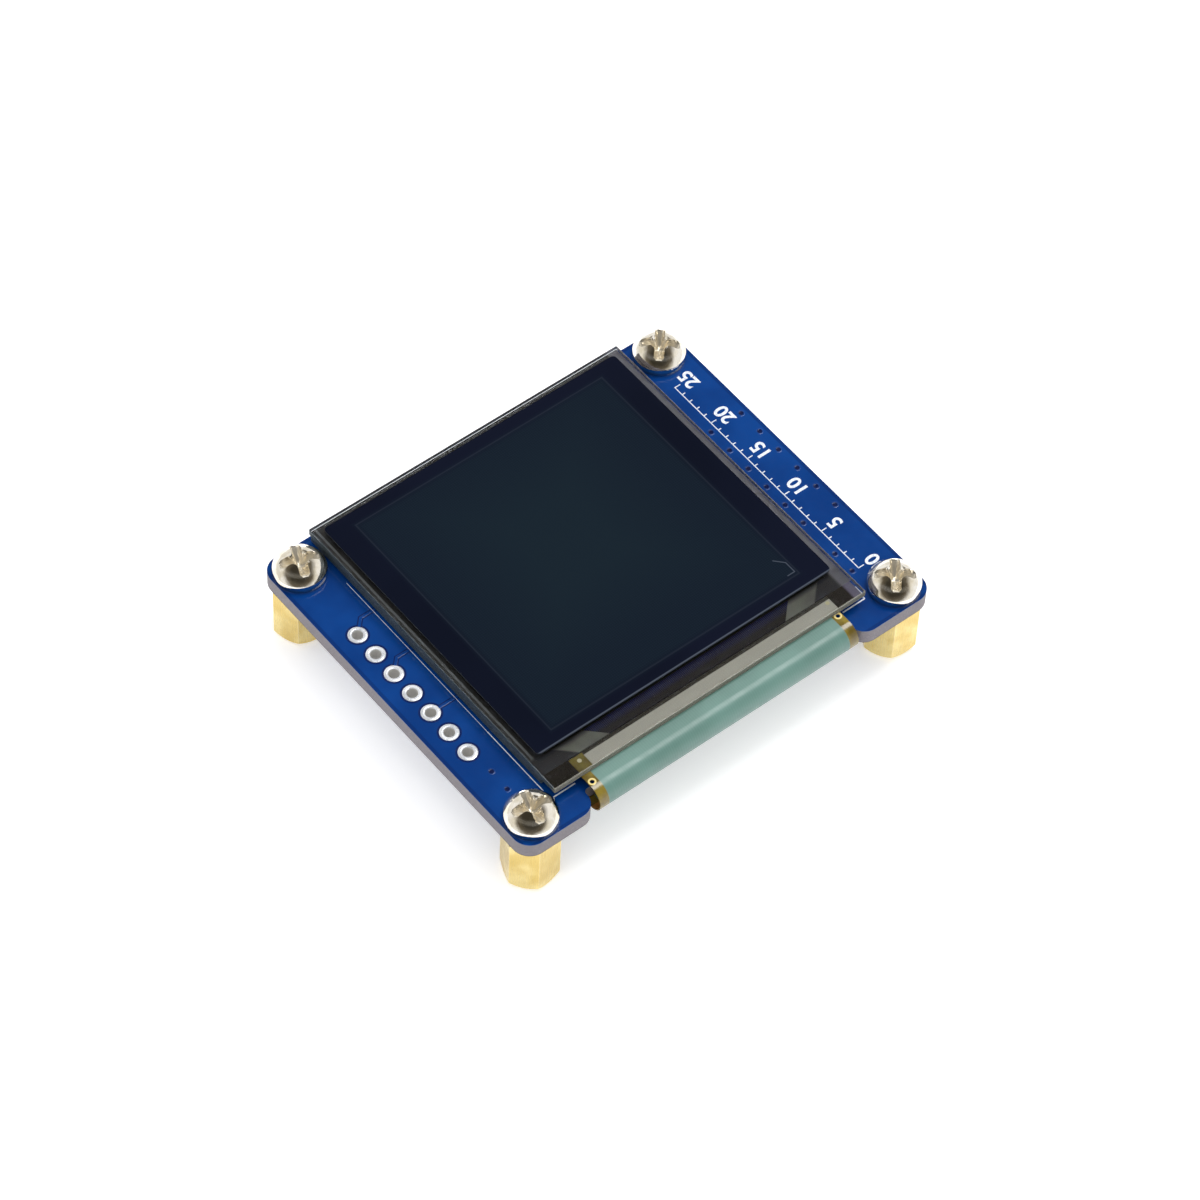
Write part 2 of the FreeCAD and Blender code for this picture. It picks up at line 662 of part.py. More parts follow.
def moulded_body(label, length, width, height, x, y):
    """Moulded body with a parting line at half height and draft above and below it."""
    body = new_body(label)
    middle = f"({height} + mould_rise) / 2"
    half = f"({height} - mould_rise) / 2"
    for name, down in (("lid", False), ("base", True)):
        sketch = new_sketch(body, f"{label}_{name}_outline", lift=middle)
        rectangle(sketch, "edge", f"-{length} / 2", f"{length} / 2", f"-{width} / 2", f"{width} / 2")
        pad(body, sketch, f"{label}_{name}", half, draft="-mould_draft", down=down)
    hang(body, label, x, y)


def package_leads(label, count, width, height, x, y):
    """Rows of bent leads in front of and behind a package: shoulder, riser and foot."""
    body = new_body(label)
    body.AllowCompound = True
    start = f"-(({count} - 1) * package_pitch + lead_width) / 2"
    sketch = new_sketch(body, f"{label}_profile", "YZ_Plane", lift=start)
    riser = "lead_setoff + lead_thickness"
    middle = f"({height} + mould_rise) / 2"
    upper = f"{middle} + lead_thickness / 2"
    lower = f"{middle} - lead_thickness / 2"
    for name, sign in (("front", "-"), ("back", "")):
        outline(sketch, name, [(f"{sign}({width} / 2 + {out})", up) for out, up in [
            ("0", upper),
            (riser, upper),
            (riser, "lead_thickness"),
            (LEAD_REACH, "lead_thickness"),
            (LEAD_REACH, "0"),
            ("lead_setoff", "0"),
            ("lead_setoff", lower),
            ("0", lower),
        ]])
    first_pair = pad(body, sketch, f"{label}_first", "lead_width")
    if value(count) > 1:
        row_of(body, first_pair, f"{label}_row", (sketch, ["N_Axis"]), "package_pitch", count)
    hang(body, label, x, y)


def package(name, kind, x, y):
    """A moulded body and its leads, from the sizes that start with kind."""
    moulded_body(f"{name}_body", f"{kind}_length", f"{kind}_width", f"{kind}_height", x, y)
    package_leads(f"{name}_leads", f"{kind}_lead_count", f"{kind}_width", f"{kind}_height", x, y)


def inductor(x, y):
    """Square shield with a round opening, and in it a drum core with its winding."""
    shield = new_body("inductor_shield")
    square = new_sketch(shield, "shield_outline")
    half = "inductor_side / 2"
    cut = "(inductor_side / 2 - inductor_corner)"
    outline(square, "edge", [
        (half, f"-{cut}"),
        (half, cut),
        (cut, half),
        (f"-{cut}", half),
        (f"-{half}", cut),
        (f"-{half}", f"-{cut}"),
        (f"-{cut}", f"-{half}"),
        (cut, f"-{half}"),
    ])
    pad(shield, square, "shield_pad", "inductor_height")
    opening = new_sketch(shield, "shield_opening", lift="inductor_height")
    circle(opening, "opening", "0", "0", "inductor_side - 2 * inductor_wall")
    pocket(shield, opening, "shield_bore", "inductor_height")
    hang(shield, "inductor_shield", x, y)

    drum = new_body("inductor_drum")
    profile = new_sketch(drum, "drum_profile", "XZ_Plane")
    rim = "inductor_side / 2 - inductor_wall - drum_gap"
    post = "drum_post / 2"
    upper = "inductor_height - drum_flange"
    outline(profile, "corner", [
        ("0", "0"),
        (post, "0"),
        (post, upper),
        (rim, upper),
        (rim, "inductor_height"),
        ("0", "inductor_height"),
    ])
    revolve(drum, profile, "drum_turned")
    hang(drum, "inductor_drum", x, y)

    winding = new_body("inductor_winding")
    ring = new_sketch(winding, "winding_profile", "XZ_Plane")
    rectangle(ring, "edge", f"{post} + winding_gap", f"{rim} - winding_gap",
              "winding_gap", f"{upper} - winding_gap")
    revolve(winding, ring, "winding_turned")
    hang(winding, "inductor_winding", x, y)


def chip(label, length, width, height, x, y, sideways=True):
    """Ceramic chip with a metal cap at each end."""
    ceramic = block(f"{label}_ceramic", f"{length} - chip_end", f"{width} - 2 * chip_step",
                    f"{height} - 2 * chip_step", z="chip_step")
    ends = [block(f"{label}_end_{number}", "chip_end", width, height, x=f"{sign}({length} - chip_end) / 2")
            for number, sign in ((1, "-"), (2, ""))]
    fused = doc.addObject("Part::MultiFuse", label)
    fused.Shapes = [ceramic] + ends
    hang(fused, label, x, y, sideways)


def columns(widths):
    """Centres along X of components of these widths, side by side from the start of the rows."""
    centres = []
    edge = "-row_start"
    for width in widths:
        centres.append(f"({edge} + {width} / 2)")
        edge = f"({edge} + {width} + part_gap)"
    return centres


def components():
    """Two rows of components, with a capacitor behind the regulator and a resistor before the converter."""
    large = ("large_length", "large_width", "large_height")
    small = ("small_length", "small_width", "capacitor_height")
    flat = ("small_length", "small_width", "resistor_height")

    first, second, third, fourth, fifth, sixth = columns([
        "package_length", "small_width", "small_width", "small_width", "inductor_side", "large_width",
    ])
    package("regulator", "package", first, BACK_ROW)
    chip("capacitor_1", *large, first, CAPACITOR_ROW, sideways=False)
    chip("resistor_1", *flat, second, BACK_ROW)
    chip("capacitor_2", *small, third, BACK_ROW)
    chip("resistor_2", *flat, fourth, BACK_ROW)
    inductor(fifth, BACK_ROW)
    chip("capacitor_3", *large, sixth, BACK_ROW)

    first, second, third, fourth, fifth, sixth = columns([
        "package_length", "small_width", "small_width", "package_length", "diode_length", "large_width",
    ])
    chip("capacitor_4", *small, first, FRONT_ROW, sideways=False)
    chip("resistor_3", *flat, second, FRONT_ROW)
    chip("capacitor_5", *small, third, FRONT_ROW)
    package("converter", "package", fourth, FRONT_ROW)
    chip("resistor_4", *flat, fourth, RESISTOR_ROW, sideways=False)
    package("diode", "diode", fifth, FRONT_ROW)
    chip("capacitor_6", *large, sixth, FRONT_ROW)


circuit_board()
for corner_name, corner_x, corner_y in CORNERS:
    standoff(corner_name, corner_x, corner_y)
    screw(corner_name, corner_x, corner_y)
display_panel()
display_film()
film_adhesive()
driver_chip()
tail_joints()
components()
doc.recompute()

# Nothing is written unless every object is sound.
CUTS = ("PartDesign::Pocket", "PartDesign::Groove", "PartDesign::SubtractiveLoft")
for thing in doc.Objects:
    if {"Invalid", "Error"} & set(thing.State):
        raise RuntimeError(f"{thing.Name} failed: {thing.State}")
    if thing.TypeId in CUTS and thing.Shape.Volume > thing.BaseFeature.Shape.Volume - 1e-6:
        raise RuntimeError(f"{thing.Name} cuts nothing")
for sub_part in sub_parts:
    if sub_part.Shape.isNull() or not sub_part.Shape.isValid():
        raise RuntimeError(f"{sub_part.Label} has no valid shape")

os.makedirs("parts", exist_ok=True)
for sub_part in sub_parts:
    sub_part.Shape.exportStep(f"parts/{sub_part.Label}.step")
print(f"{len(sub_parts)} sub-parts written")
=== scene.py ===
import math

import bmesh
import bpy
import numpy as np
from mathutils import Matrix, Vector

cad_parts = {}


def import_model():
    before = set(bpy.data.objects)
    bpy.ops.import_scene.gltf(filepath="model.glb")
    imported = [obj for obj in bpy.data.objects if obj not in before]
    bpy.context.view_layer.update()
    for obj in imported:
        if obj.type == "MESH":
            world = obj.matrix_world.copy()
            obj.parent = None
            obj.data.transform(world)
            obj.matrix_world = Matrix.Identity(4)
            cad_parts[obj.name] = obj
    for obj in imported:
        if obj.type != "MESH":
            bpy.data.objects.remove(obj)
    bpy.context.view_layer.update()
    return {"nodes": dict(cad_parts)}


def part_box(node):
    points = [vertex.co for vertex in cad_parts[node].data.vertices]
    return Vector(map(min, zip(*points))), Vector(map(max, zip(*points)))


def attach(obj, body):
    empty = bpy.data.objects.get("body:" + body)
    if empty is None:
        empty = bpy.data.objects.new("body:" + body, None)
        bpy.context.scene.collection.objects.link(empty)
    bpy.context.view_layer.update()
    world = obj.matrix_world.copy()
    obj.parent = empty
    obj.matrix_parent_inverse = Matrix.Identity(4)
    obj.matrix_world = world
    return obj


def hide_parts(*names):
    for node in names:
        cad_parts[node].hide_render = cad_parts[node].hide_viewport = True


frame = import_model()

# Small square display module. Lengths are written in millimetres and made metres by MM.
# +Z is up, the film leaves the panel towards -Y, and the row of plated holes is at -X.

MM = 0.001
CORNERS = ("front_left", "front_right", "back_left", "back_right")


def millimetres(node):
    """A node's lowest and highest corner, in millimetres."""
    low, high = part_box(node)
    return np.array(low) / MM, np.array(high) / MM


# Places read from the solids.
BOARD_LOW, BOARD_HIGH = millimetres("circuit_board")
GLASS_LOW, GLASS_HIGH = millimetres("display_glass")
COVER_LOW = millimetres("cover_glass")[0]
POLARIZER_LOW, POLARIZER_HIGH = millimetres("polarizer")
EMITTER_LOW, EMITTER_HIGH = millimetres("emitter_layer")
FILM_LOW, FILM_HIGH = millimetres("display_film")
DRIVER_LOW, DRIVER_HIGH = millimetres("driver_chip")
JOINTS_LOW, JOINTS_HIGH = millimetres("tail_joints")
TOP = BOARD_HIGH[2]
UNDERSIDE = BOARD_LOW[2]
PANEL_X = (GLASS_LOW[0] + GLASS_HIGH[0]) / 2
SCREWS = {name: sum(millimetres(f"screw_{name}")) / 2 for name in CORNERS}

# Row of plated holes
HOLE_X = BOARD_LOW[0] + 2.35
HOLE_PITCH = 2.54
HOLE_COUNT = 7
HOLE_YS = [(number - (HOLE_COUNT - 1) / 2) * HOLE_PITCH for number in range(HOLE_COUNT)]
HOLE_RADIUS = 0.5
PAD_RADIUS = 0.86


def linked(name, data):
    """A new object, put into the scene."""
    made = bpy.data.objects.new(name, data)
    bpy.context.scene.collection.objects.link(made)
    return made


# Camera

CAMERA_AZIMUTH = -41.07
CAMERA_ELEVATION = 53.18
CAMERA_ROLL = 3.03
CAMERA_DISTANCE = 441.6
CAMERA_TARGET = (-1.243, -1.929, TOP)
FOCAL_LENGTH = 155.36
SENSOR_WIDTH = 36


def camera():
    """Camera at the photograph's viewing angle, turned about its own axis by the roll."""
    azimuth, elevation, roll = (math.radians(a) for a in (CAMERA_AZIMUTH, CAMERA_ELEVATION, CAMERA_ROLL))
    flat = math.cos(elevation)
    back = Vector((math.sin(azimuth) * flat, -math.cos(azimuth) * flat, math.sin(elevation)))
    level = Vector((math.cos(azimuth), math.sin(azimuth), 0))
    upright = back.cross(level)
    right = level * math.cos(roll) + upright * math.sin(roll)
    up = upright * math.cos(roll) - level * math.sin(roll)
    data = bpy.data.cameras.new("camera")
    data.lens = FOCAL_LENGTH
    data.sensor_width = SENSOR_WIDTH
    made = linked("camera", data)
    turn = Matrix((right, up, back)).transposed().to_4x4()
    place = (Vector(CAMERA_TARGET) + back * CAMERA_DISTANCE) * MM
    made.matrix_world = Matrix.Translation(place) @ turn
    bpy.context.scene.camera = made


camera()


# Node trees

class Draft:
    """The node tree that is being drawn."""
    tree = None


def start(tree):
    """Clears a node tree, to draw it anew."""
    tree.nodes.clear()
    Draft.tree = tree


class Value:
    """A node's output. Arithmetic with it adds Math nodes."""

    def __init__(self, socket):
        self.socket = socket

    def __add__(self, other):
        return maths("ADD", self, other)

    def __radd__(self, other):
        return maths("ADD", other, self)

    def __sub__(self, other):
        return maths("SUBTRACT", self, other)

    def __rsub__(self, other):
        return maths("SUBTRACT", other, self)

    def __mul__(self, other):
        return maths("MULTIPLY", self, other)

    def __truediv__(self, other):
        return maths("DIVIDE", self, other)

    def __abs__(self):
        return maths("ABSOLUTE", self)


def srgb(levels):
    """A colour read off as levels from 0 to 255, as the linear colour that shaders take."""
    parts = [level / 255 for level in levels]
    return tuple(p / 12.92 if p <= 0.04045 else ((p + 0.055) / 1.055) ** 2.4 for p in parts)


def put(socket, value):
    """Links a Value to a socket, or sets a plain value there.

    A colour is three levels from 0 to 255, or four linear parts. None leaves the socket alone.
    """
    if isinstance(value, Value):
        Draft.tree.links.new(value.socket, socket)
    elif value is not None:
        levels = socket.type == "RGBA" and len(value) == 3
        socket.default_value = (*srgb(value), 1) if levels else value


def node(kind, inputs=None, **settings):
    """A new node. Its inputs are given by name or number."""
    made = Draft.tree.nodes.new(kind)
    for name, value in settings.items():
        setattr(made, name, value)
    for key, value in (inputs or {}).items():
        put(made.inputs[key], value)
    return made


def add(kind, inputs=None, output=0, **settings):
    """One output of a new node."""
    return Value(node(kind, inputs, **settings).outputs[output])


def maths(operation, *values, clamp=False):
    """The output of a Math node."""
    return add("ShaderNodeMath", dict(enumerate(values)), operation=operation, use_clamp=clamp)


def vector_maths(operation, *values, output=0, **named):
    """An output of a Vector Math node."""
    return add("ShaderNodeVectorMath", {**dict(enumerate(values)), **named}, output, operation=operation)


def most(*masks, operation="MAXIMUM"):
    """The greatest of several masks, or what another operation makes of them in turn."""
    found = masks[0]
    for mask in masks[1:]:
        found = maths(operation, found, mask)
    return found


def blend(factor, first, second):
    """The colour that lies between two colours."""
    made = node("ShaderNodeMix", data_type="RGBA", clamp_factor=True)
    for socket, value in zip((s for s in made.inputs if s.enabled), (factor, first, second)):
        put(socket, value)
    return Value(next(s for s in made.outputs if s.enabled))


def between(value, low, high, to_low=0.0, to_high=1.0):
    """value carried smoothly from one range to another, and held at its ends."""
    return add("ShaderNodeMapRange", {"Value": value, "From Min": low, "From Max": high, "To Min": to_low,
                                      "To Max": to_high}, interpolation_type="SMOOTHSTEP", clamp=True)


def beyond(place, low, high):
    """0 before low and 1 past high, two places along a coordinate, in millimetres and in either order."""
    return between(place, low * MM, high * MM)


def spread(cloud, low, high):
    """Noise carried to a range, such as one of roughness."""
    return between(cloud, 0.3, 0.7, low, high)


def parts_of(vector):
    """The vector's three numbers."""
    return [Value(socket) for socket in node("ShaderNodeSeparateXYZ", {0: vector}).outputs]


def noise(vector, scale, detail=2.0, roughness=0.5, stretch=None):
    """Fractal noise about 0.5, with scale in waves per millimetre. A stretch multiplies the vector first."""
    if stretch:
        vector = vector_maths("MULTIPLY", vector, stretch)
    return add("ShaderNodeTexNoise", {"Vector": vector, "Scale": scale / MM, "Detail": detail,
                                      "Roughness": roughness})


def bump(height, distance, strength, normal=None):
    """Normal of a surface that is raised by height, from 0 to 1, times distance in millimetres."""
    return add("ShaderNodeBump", {"Height": height, "Distance": distance * MM, "Strength": strength,
                                  "Normal": normal})


def ray(kind):
    """1 for rays of one kind."""
    return add("ShaderNodeLightPath", output=f"Is {kind} Ray")


# Effects that several materials share

def effect(**inputs):
    """Makes a node group of the function below it, with its name and these inputs.

    The function takes the group's inputs and gives its outputs by name. Afterwards its name stands for a
    function that places the group, with its inputs in order, and gives one of its outputs.
    """
    def build(draw):
        tree = bpy.data.node_groups.new(draw.__name__, "ShaderNodeTree")
        start(tree)
        for label, value in inputs.items():
            kind = {3: "Vector", 4: "Color"}.get(np.size(value), "Float")
            socket = tree.interface.new_socket(label, in_out="INPUT", socket_type=f"NodeSocket{kind}")
            socket.default_value = value
        given = tree.nodes.new("NodeGroupInput").outputs
        results = draw(*(Value(socket) for socket, _ in zip(given, inputs)))
        for label in results:
            kind = "Color" if label == "Color" else "Float"
            tree.interface.new_socket(label, in_out="OUTPUT", socket_type=f"NodeSocket{kind}")
        node("NodeGroupOutput", results)

        def place(*values, output=0):
            return add("ShaderNodeGroup", dict(enumerate(values)), output, node_tree=tree)
        return place
    return build


@effect(Vector=(0, 0, 0), Low=(0, 0, 0), High=(1, 1, 1), Soft=0.02)
def inside_box(vector, low, high, soft):
    """1 inside an upright box, 0 outside, with a soft border. Its corners are in millimetres."""
    point = vector_maths("SCALE", vector, Scale=1 / MM)
    depths = parts_of(vector_maths("SUBTRACT", point, low)) + parts_of(vector_maths("SUBTRACT", high, point))
    return {"Mask": maths("ADD", most(*depths, operation="MINIMUM") / soft, 0.5, clamp=True)}


@effect(Vector=(0, 0, 0), Start=(0, 0, 0), End=(1, 0, 0), Width=0.2, Soft=0.04)
def near_line(vector, start_point, end_point, width, soft):
    """1 within half a width of a straight line in plan, from Start to End, in millimetres."""
    point = vector_maths("MULTIPLY", vector, (1 / MM, 1 / MM, 0))
    along = vector_maths("SUBTRACT", end_point, start_point)
    reach = vector_maths("SUBTRACT", point, start_point)
    dot = vector_maths("DOT_PRODUCT", reach, along, output="Value")
    square = vector_maths("DOT_PRODUCT", along, along, output="Value")
    foot = vector_maths("SCALE", along, Scale=maths("DIVIDE", dot, square, clamp=True))
    off = vector_maths("DISTANCE", reach, foot, output="Value")
    return {"Mask": maths("ADD", (width * 0.5 - off) / soft, 0.5, clamp=True)}


@effect(Vector=(0, 0, 0), Centre=(0, 0, 0), Radius=1.0, Soft=0.03)
def near_point(vector, centre, radius, soft):
    """1 within a radius of a centre in plan, both in millimetres."""
    point = vector_maths("MULTIPLY", vector, (1 / MM, 1 / MM, 0))
    off = vector_maths("DISTANCE", point, centre, output="Value")
    return {"Mask": maths("ADD", (radius - off) / soft, 0.5, clamp=True)}


@effect(Coordinate=0.0, Pitch=1.0, Share=0.5)
def stripes(coordinate, pitch, share):
    """Even stripes across a coordinate. Pitch is in millimetres, and Share is the stripe's part of it."""
    off_middle = maths("PINGPONG", coordinate / MM / pitch, 0.5)
    return {"Mask": maths("ADD", (share * 0.5 - off_middle) * 12.0, 0.5, clamp=True)}


@effect(Radius=0.1)
def edges(radius):
    """1 on edges: where a normal rounded over Radius, in millimetres, turns away from the face's own."""
    rounded = add("ShaderNodeBevel", {"Radius": radius * MM}, samples=4)
    face = add("ShaderNodeNewGeometry", output="Normal")
    return {"Mask": between(vector_maths("DOT_PRODUCT", rounded, face, output="Value"), 0.999, 0.9)}


@effect()
def facing():
    """Down is 1 on faces that look down, and Side on upright ones."""
    upward = parts_of(add("ShaderNodeNewGeometry", output="True Normal"))[2]
    return {"Down": between(upward, -0.6, -0.8), "Side": between(abs(upward), 0.8, 0.6)}


@effect(Vector=(0, 0, 0), Scale=1.0, Dark=(0, 0, 0, 1), Light=(1, 1, 1, 1))
def mottle(vector, scale, dark, light):
    """A colour that drifts between two in soft clouds, Scale of them to a millimetre."""
    return {"Color": blend(between(noise(vector, scale, 3.0), 0.35, 0.65), dark, light)}


@effect(Vector=(0, 0, 0), Amount=0.5)
def dust(vector, amount):
    """Fine specks and short smears that lie on a surface: 1 on a speck."""
    off = add("ShaderNodeTexVoronoi", {"Vector": vector, "Scale": 1.1 / MM, "Randomness": 1.0}, "Distance")
    size = noise(vector, 0.4)
    return {"Mask": maths("MULTIPLY", size * amount * 0.07 - off, 40.0, clamp=True)}


HIGH_ABOVE = 20     # a height in millimetres that no piece reaches


def over(point, low, high, soft, margin=0.0):
    """1 over a rectangle in plan. Its corners are in millimetres, and a margin widens it."""
    return inside_box(point, (low[0] - margin, low[1] - margin, 0),
                      (high[0] + margin, high[1] + margin, HIGH_ABOVE), soft)


def weave(x, y):
    """Threads of the glass cloth in the laminate."""
    return stripes(x, 0.5, 0.8) * stripes(y, 0.42, 0.8)


def hollow():
    """A piece's own attribute, 1 where it is hollow."""
    return add("ShaderNodeAttribute", output="Fac", attribute_name="hollow")


# Materials: each shade takes the point in object space and gives a colour, a roughness and a normal, and
# after them it may give other sockets by name

def material(name, shade, **uniform):
    """A material around one Principled BSDF, with a shade and with plain values. Names have _ for a space."""
    made = bpy.data.materials.new(name)
    made.use_nodes = True
    start(made.node_tree)
    shader = node("ShaderNodeBsdfPrincipled")
    colour, roughness, normal, *others = shade(add("ShaderNodeTexCoord", output="Object"))
    looks = {"Base Color": colour, "Roughness": roughness, "Normal": normal, **uniform, **dict(*others)}
    for key, value in looks.items():
        put(shader.inputs[key.replace("_", " ")], value)
    node("ShaderNodeOutputMaterial", {"Surface": Value(shader.outputs[0])})
    return made


MASK_DARK, MASK_LIGHT, BARE_BLUE = (2, 52, 118), (6, 62, 133), (2, 28, 82)


def board_shade(point):
    """Glossy blue mask over copper and laminate, with sawn glass laminate on the edges and in the holes."""
    x, y, z = parts_of(point)
    side = facing(output="Side")
    # The copper stops short of the board's edge, so a darker rim shows round it.
    pour = over(point, BOARD_LOW, BOARD_HIGH, 0.08, -0.35)
    mask_colour = blend((1.0 - pour) * 0.45, mottle(point, 0.16, MASK_DARK, MASK_LIGHT), BARE_BLUE)

    layers = stripes(z, 0.19, 0.45) * 0.35
    fibres = noise(point, 9.0, 3.0, 0.7, (1, 1, 5))
    laminate = blend(most(layers, between(fibres, 0.45, 0.75)), (124, 118, 126), (176, 172, 174))
    # The mask runs a little over the sawn edge's upper and lower rims.
    laminate = blend(beyond(z, TOP - 0.1, TOP - 0.03), laminate, (96, 118, 164))
    laminate = blend(beyond(z, UNDERSIDE + 0.1, UNDERSIDE + 0.03), laminate, (92, 78, 84))
    colour = blend(side, mask_colour, laminate)
    colour = blend(dust(point, 0.5) * 0.03, colour, (150, 160, 180))

    peel = noise(point, 1.6)
    smooth = bump(peel + weave(x, y) * 0.12, 0.012, 0.5)
    return colour, side * 0.45 + (0.1 + peel * 0.08), bump(fibres * side, 0.05, 0.6, smooth)


def tin_shade(point):
    """Reflowed tin with fine lumps, and a painted highlight along its edges."""
    fine = noise(point, 2.5, 4.0, 0.6)
    # Painted highlight: the edges are lightened towards near white.
    colour = blend(edges(0.08) * 0.7, mottle(point, 0.75, (206, 208, 212), (240, 241, 243)), (250, 250, 250))
    return colour, spread(fine, 0.18, 0.336), bump(fine, 0.02, 0.5)


def screw_shade(point):
    """Bright nickel with a painted highlight on its edges. The recess, which is found by each screw's place,
    has a warm tint that is a painted reflection.
    """
    z = parts_of(point)[2]
    fine = noise(point, 3.0, 3.0)
    wells = most(*(near_point(point, (*SCREWS[name][:2], 0), 1.75, 0.3) for name in CORNERS))
    deep = wells * beyond(z, TOP + 1.75, TOP + 1.35) * beyond(z, TOP + 0.3, TOP + 0.45)
    # Painted reflection: the recess walls get a warm cream tint.
    colour = blend(deep * 0.5, mottle(point, 0.9, (222, 214, 196), (242, 238, 230)), (238, 226, 198))
    # Painted highlight: the edges are lightened towards white.
    colour = blend(edges(0.07) * 0.6, colour, (250, 248, 244))
    roughness = spread(fine, 0.06, 0.14) + deep * 0.08
    # The struck recess is satin, so it also scatters light.
    return colour, roughness, bump(fine, 0.02, 0.35), {"Metallic": 1.0 - deep * 0.3}


def brass_shade(point):
    """Turned brass bar: drawn lines along its length, a dull film in places, and a painted highlight on its
    edges.
    """
    drawn = noise(point, 7.0, 3.0, 0.65, (1, 1, 0.04))
    turned = noise(point, 9.0, 2.0, 0.5, (0.05, 0.05, 1))
    dull = between(noise(point, 0.8, 4.0, 0.7), 0.55, 0.75)
    colour = blend(dull * 0.18, mottle(point, 0.35, (212, 186, 112), (232, 212, 148)), (184, 146, 76))
    # Painted highlight: the edges are lightened to pale gold.
    colour = blend(edges(0.12) * 0.7, colour, (255, 236, 182))
    foot = beyond(parts_of(point)[2], 0.7, 0.5)
    return colour, spread(drawn, 0.2, 0.36), bump(drawn * (1.0 - foot) + turned * foot, 0.02, 0.6)


def glass_shade(point):
    """Clear glass, smooth on its faces and ground on its cut edges, with a few specks."""
    side = facing(output="Side")
    grind = noise(point, 6.0, 3.0, 0.7, (1, 1, 3))
    roughness = side * 0.3 + (0.01 + dust(point, 0.4) * 0.3)
    return blend(side, (236, 240, 242), (205, 212, 216)), roughness, bump(grind * side, 0.008, 0.6)


def frost_shade(point):
    """Cut glass skin that lets part of the light through. The broken front edge is rougher and paler."""
    x, y, z = parts_of(point)
    scratches = noise(point, 4.0, 3.0, 0.7, (1, 1, 6))
    broken = beyond(y, GLASS_LOW[1] + 0.3, GLASS_LOW[1] + 0.15)
    colour = blend(scratches, (64, 78, 90), (104, 118, 124))
    # Painted light: on the panel's right side, where the light falls, the skin is paler.
    colour = blend(beyond(x, GLASS_HIGH[0] - 0.6, GLASS_HIGH[0] - 0.3), colour, (158, 154, 166))
    colour = blend(broken, colour, (158, 156, 142))
    alpha = spread(scratches, 0.3, 0.42) + broken * 0.1
    return colour, spread(scratches, 0.35, 0.6), bump(scratches, 0.007, 0.6), {"Alpha": alpha}


# Hooked mark at the picture area's front right corner, drawn through these places in plan.
MARK_X, MARK_Y, MARK_SIZE = EMITTER_HIGH[0] - 0.15, EMITTER_LOW[1] + 0.3, 0.75
MARK = [(MARK_X - MARK_SIZE, MARK_Y + 2.0, 0), (MARK_X, MARK_Y + 1.2, 0), (MARK_X, MARK_Y, 0),
        (MARK_X - MARK_SIZE, MARK_Y, 0)]


def polarizer_shade(point):
    """Smooth near-black film. The picture area behind it is a little greener than its border."""
    x, y, z = parts_of(point)
    side = facing(output="Side")
    pixels = stripes(x, 0.21, 0.75) * stripes(y, 0.21, 0.75)
    middle = over(point, EMITTER_LOW + (6, 7, 0), EMITTER_HIGH - (6, 4, 0), 8.0)
    picture = blend(middle, (16, 25, 37), (20, 32, 41))
    picture = blend(pixels * 0.5, picture, (24, 36, 47))
    border = mottle(point, 0.05, (11, 16, 30), (15, 20, 36))
    colour = blend(over(point, EMITTER_LOW, EMITTER_HIGH, 0.9), border, picture)
    # The area's rim, the mark and the film's front edge catch a little light.
    rim = maths("SUBTRACT", over(point, EMITTER_LOW, EMITTER_HIGH, 0.1, 0.12),
                over(point, EMITTER_LOW, EMITTER_HIGH, 0.12), clamp=True)
    hook = most(*(near_line(point, one, other, 0.1) for one, other in zip(MARK, MARK[1:])))
    front = beyond(y, POLARIZER_LOW[1] + 0.17, POLARIZER_LOW[1] + 0.11)
    colour = blend(most(rim * 0.07, hook * 0.42, front * 0.5), colour, (96, 104, 118))
    colour = blend(dust(point, 0.35) * 0.15, colour, (120, 128, 140))
    colour = blend(side, colour, (54, 58, 66))
    wave = noise(point, 0.25)
    return colour, (0.05 + wave * 0.06) + side * 0.35, bump(wave, 0.02, 0.3)


# In front of the polarizer the seal crosses the tracks that fan out to the ledge.
FAN_BACK, FAN_HALF, BLOCK_HALF = -12.5, 11.04, 14.25


def seal_shade(point):
    """Grey-beige seal. Its front stretch is dark blue, where fine tracks fan out under it."""
    x, y, z = parts_of(point)
    front = beyond(y, POLARIZER_LOW[1] + 0.6, POLARIZER_LOW[1])
    right = beyond(x, POLARIZER_HIGH[0] - 0.4, POLARIZER_HIGH[0])
    beside = (1.0 - front) * (1.0 - right)
    # Lines of equal slant run at 45 degrees from the middle's back to the corners' front.
    slant = abs(x - PANEL_X * MM) - (y - FAN_BACK * MM)
    # Painted light: on the panel's right side, where the light falls, the body is paler.
    body = blend(right * 0.8, mottle(point, 0.3, (106, 106, 102), (128, 128, 120)), (152, 149, 162))
    # Painted shade: it darkens under the polarizer's shadow, at the panel's front corners and at its back and
    # left, and less on the right, where the light falls.
    shadow = over(point, POLARIZER_LOW, POLARIZER_HIGH, 0.5, 0.25)
    corner = front * beyond(slant, BLOCK_HALF - 0.15, BLOCK_HALF + 0.15)
    painted_shade = most(shadow * (0.8 - right * 0.6), corner * (0.9 - right * 0.6), beside * 0.75)
    body = blend(painted_shade, body, (27, 31, 48))
    # Along the panel's left side it catches the light in a thin line.
    left = abs(x - (POLARIZER_LOW[0] - 0.34) * MM)
    body = blend(beside * beyond(left, 0.14, 0.07) * 0.7, body, (150, 154, 158))
    fan = front * beyond(slant, FAN_HALF + 0.05, FAN_HALF - 0.05)
    copper = blend(beyond(y, -13.5, -12.8), (24, 26, 36), (22, 40, 98))
    tracks = blend(stripes(x, 0.16, 0.5), (10, 13, 30), copper)
    grain = noise(point, 2.5, 3.0)
    return blend(fan, body, tracks), spread(grain, 0.35, 0.6), bump(grain, 0.004, 0.5)


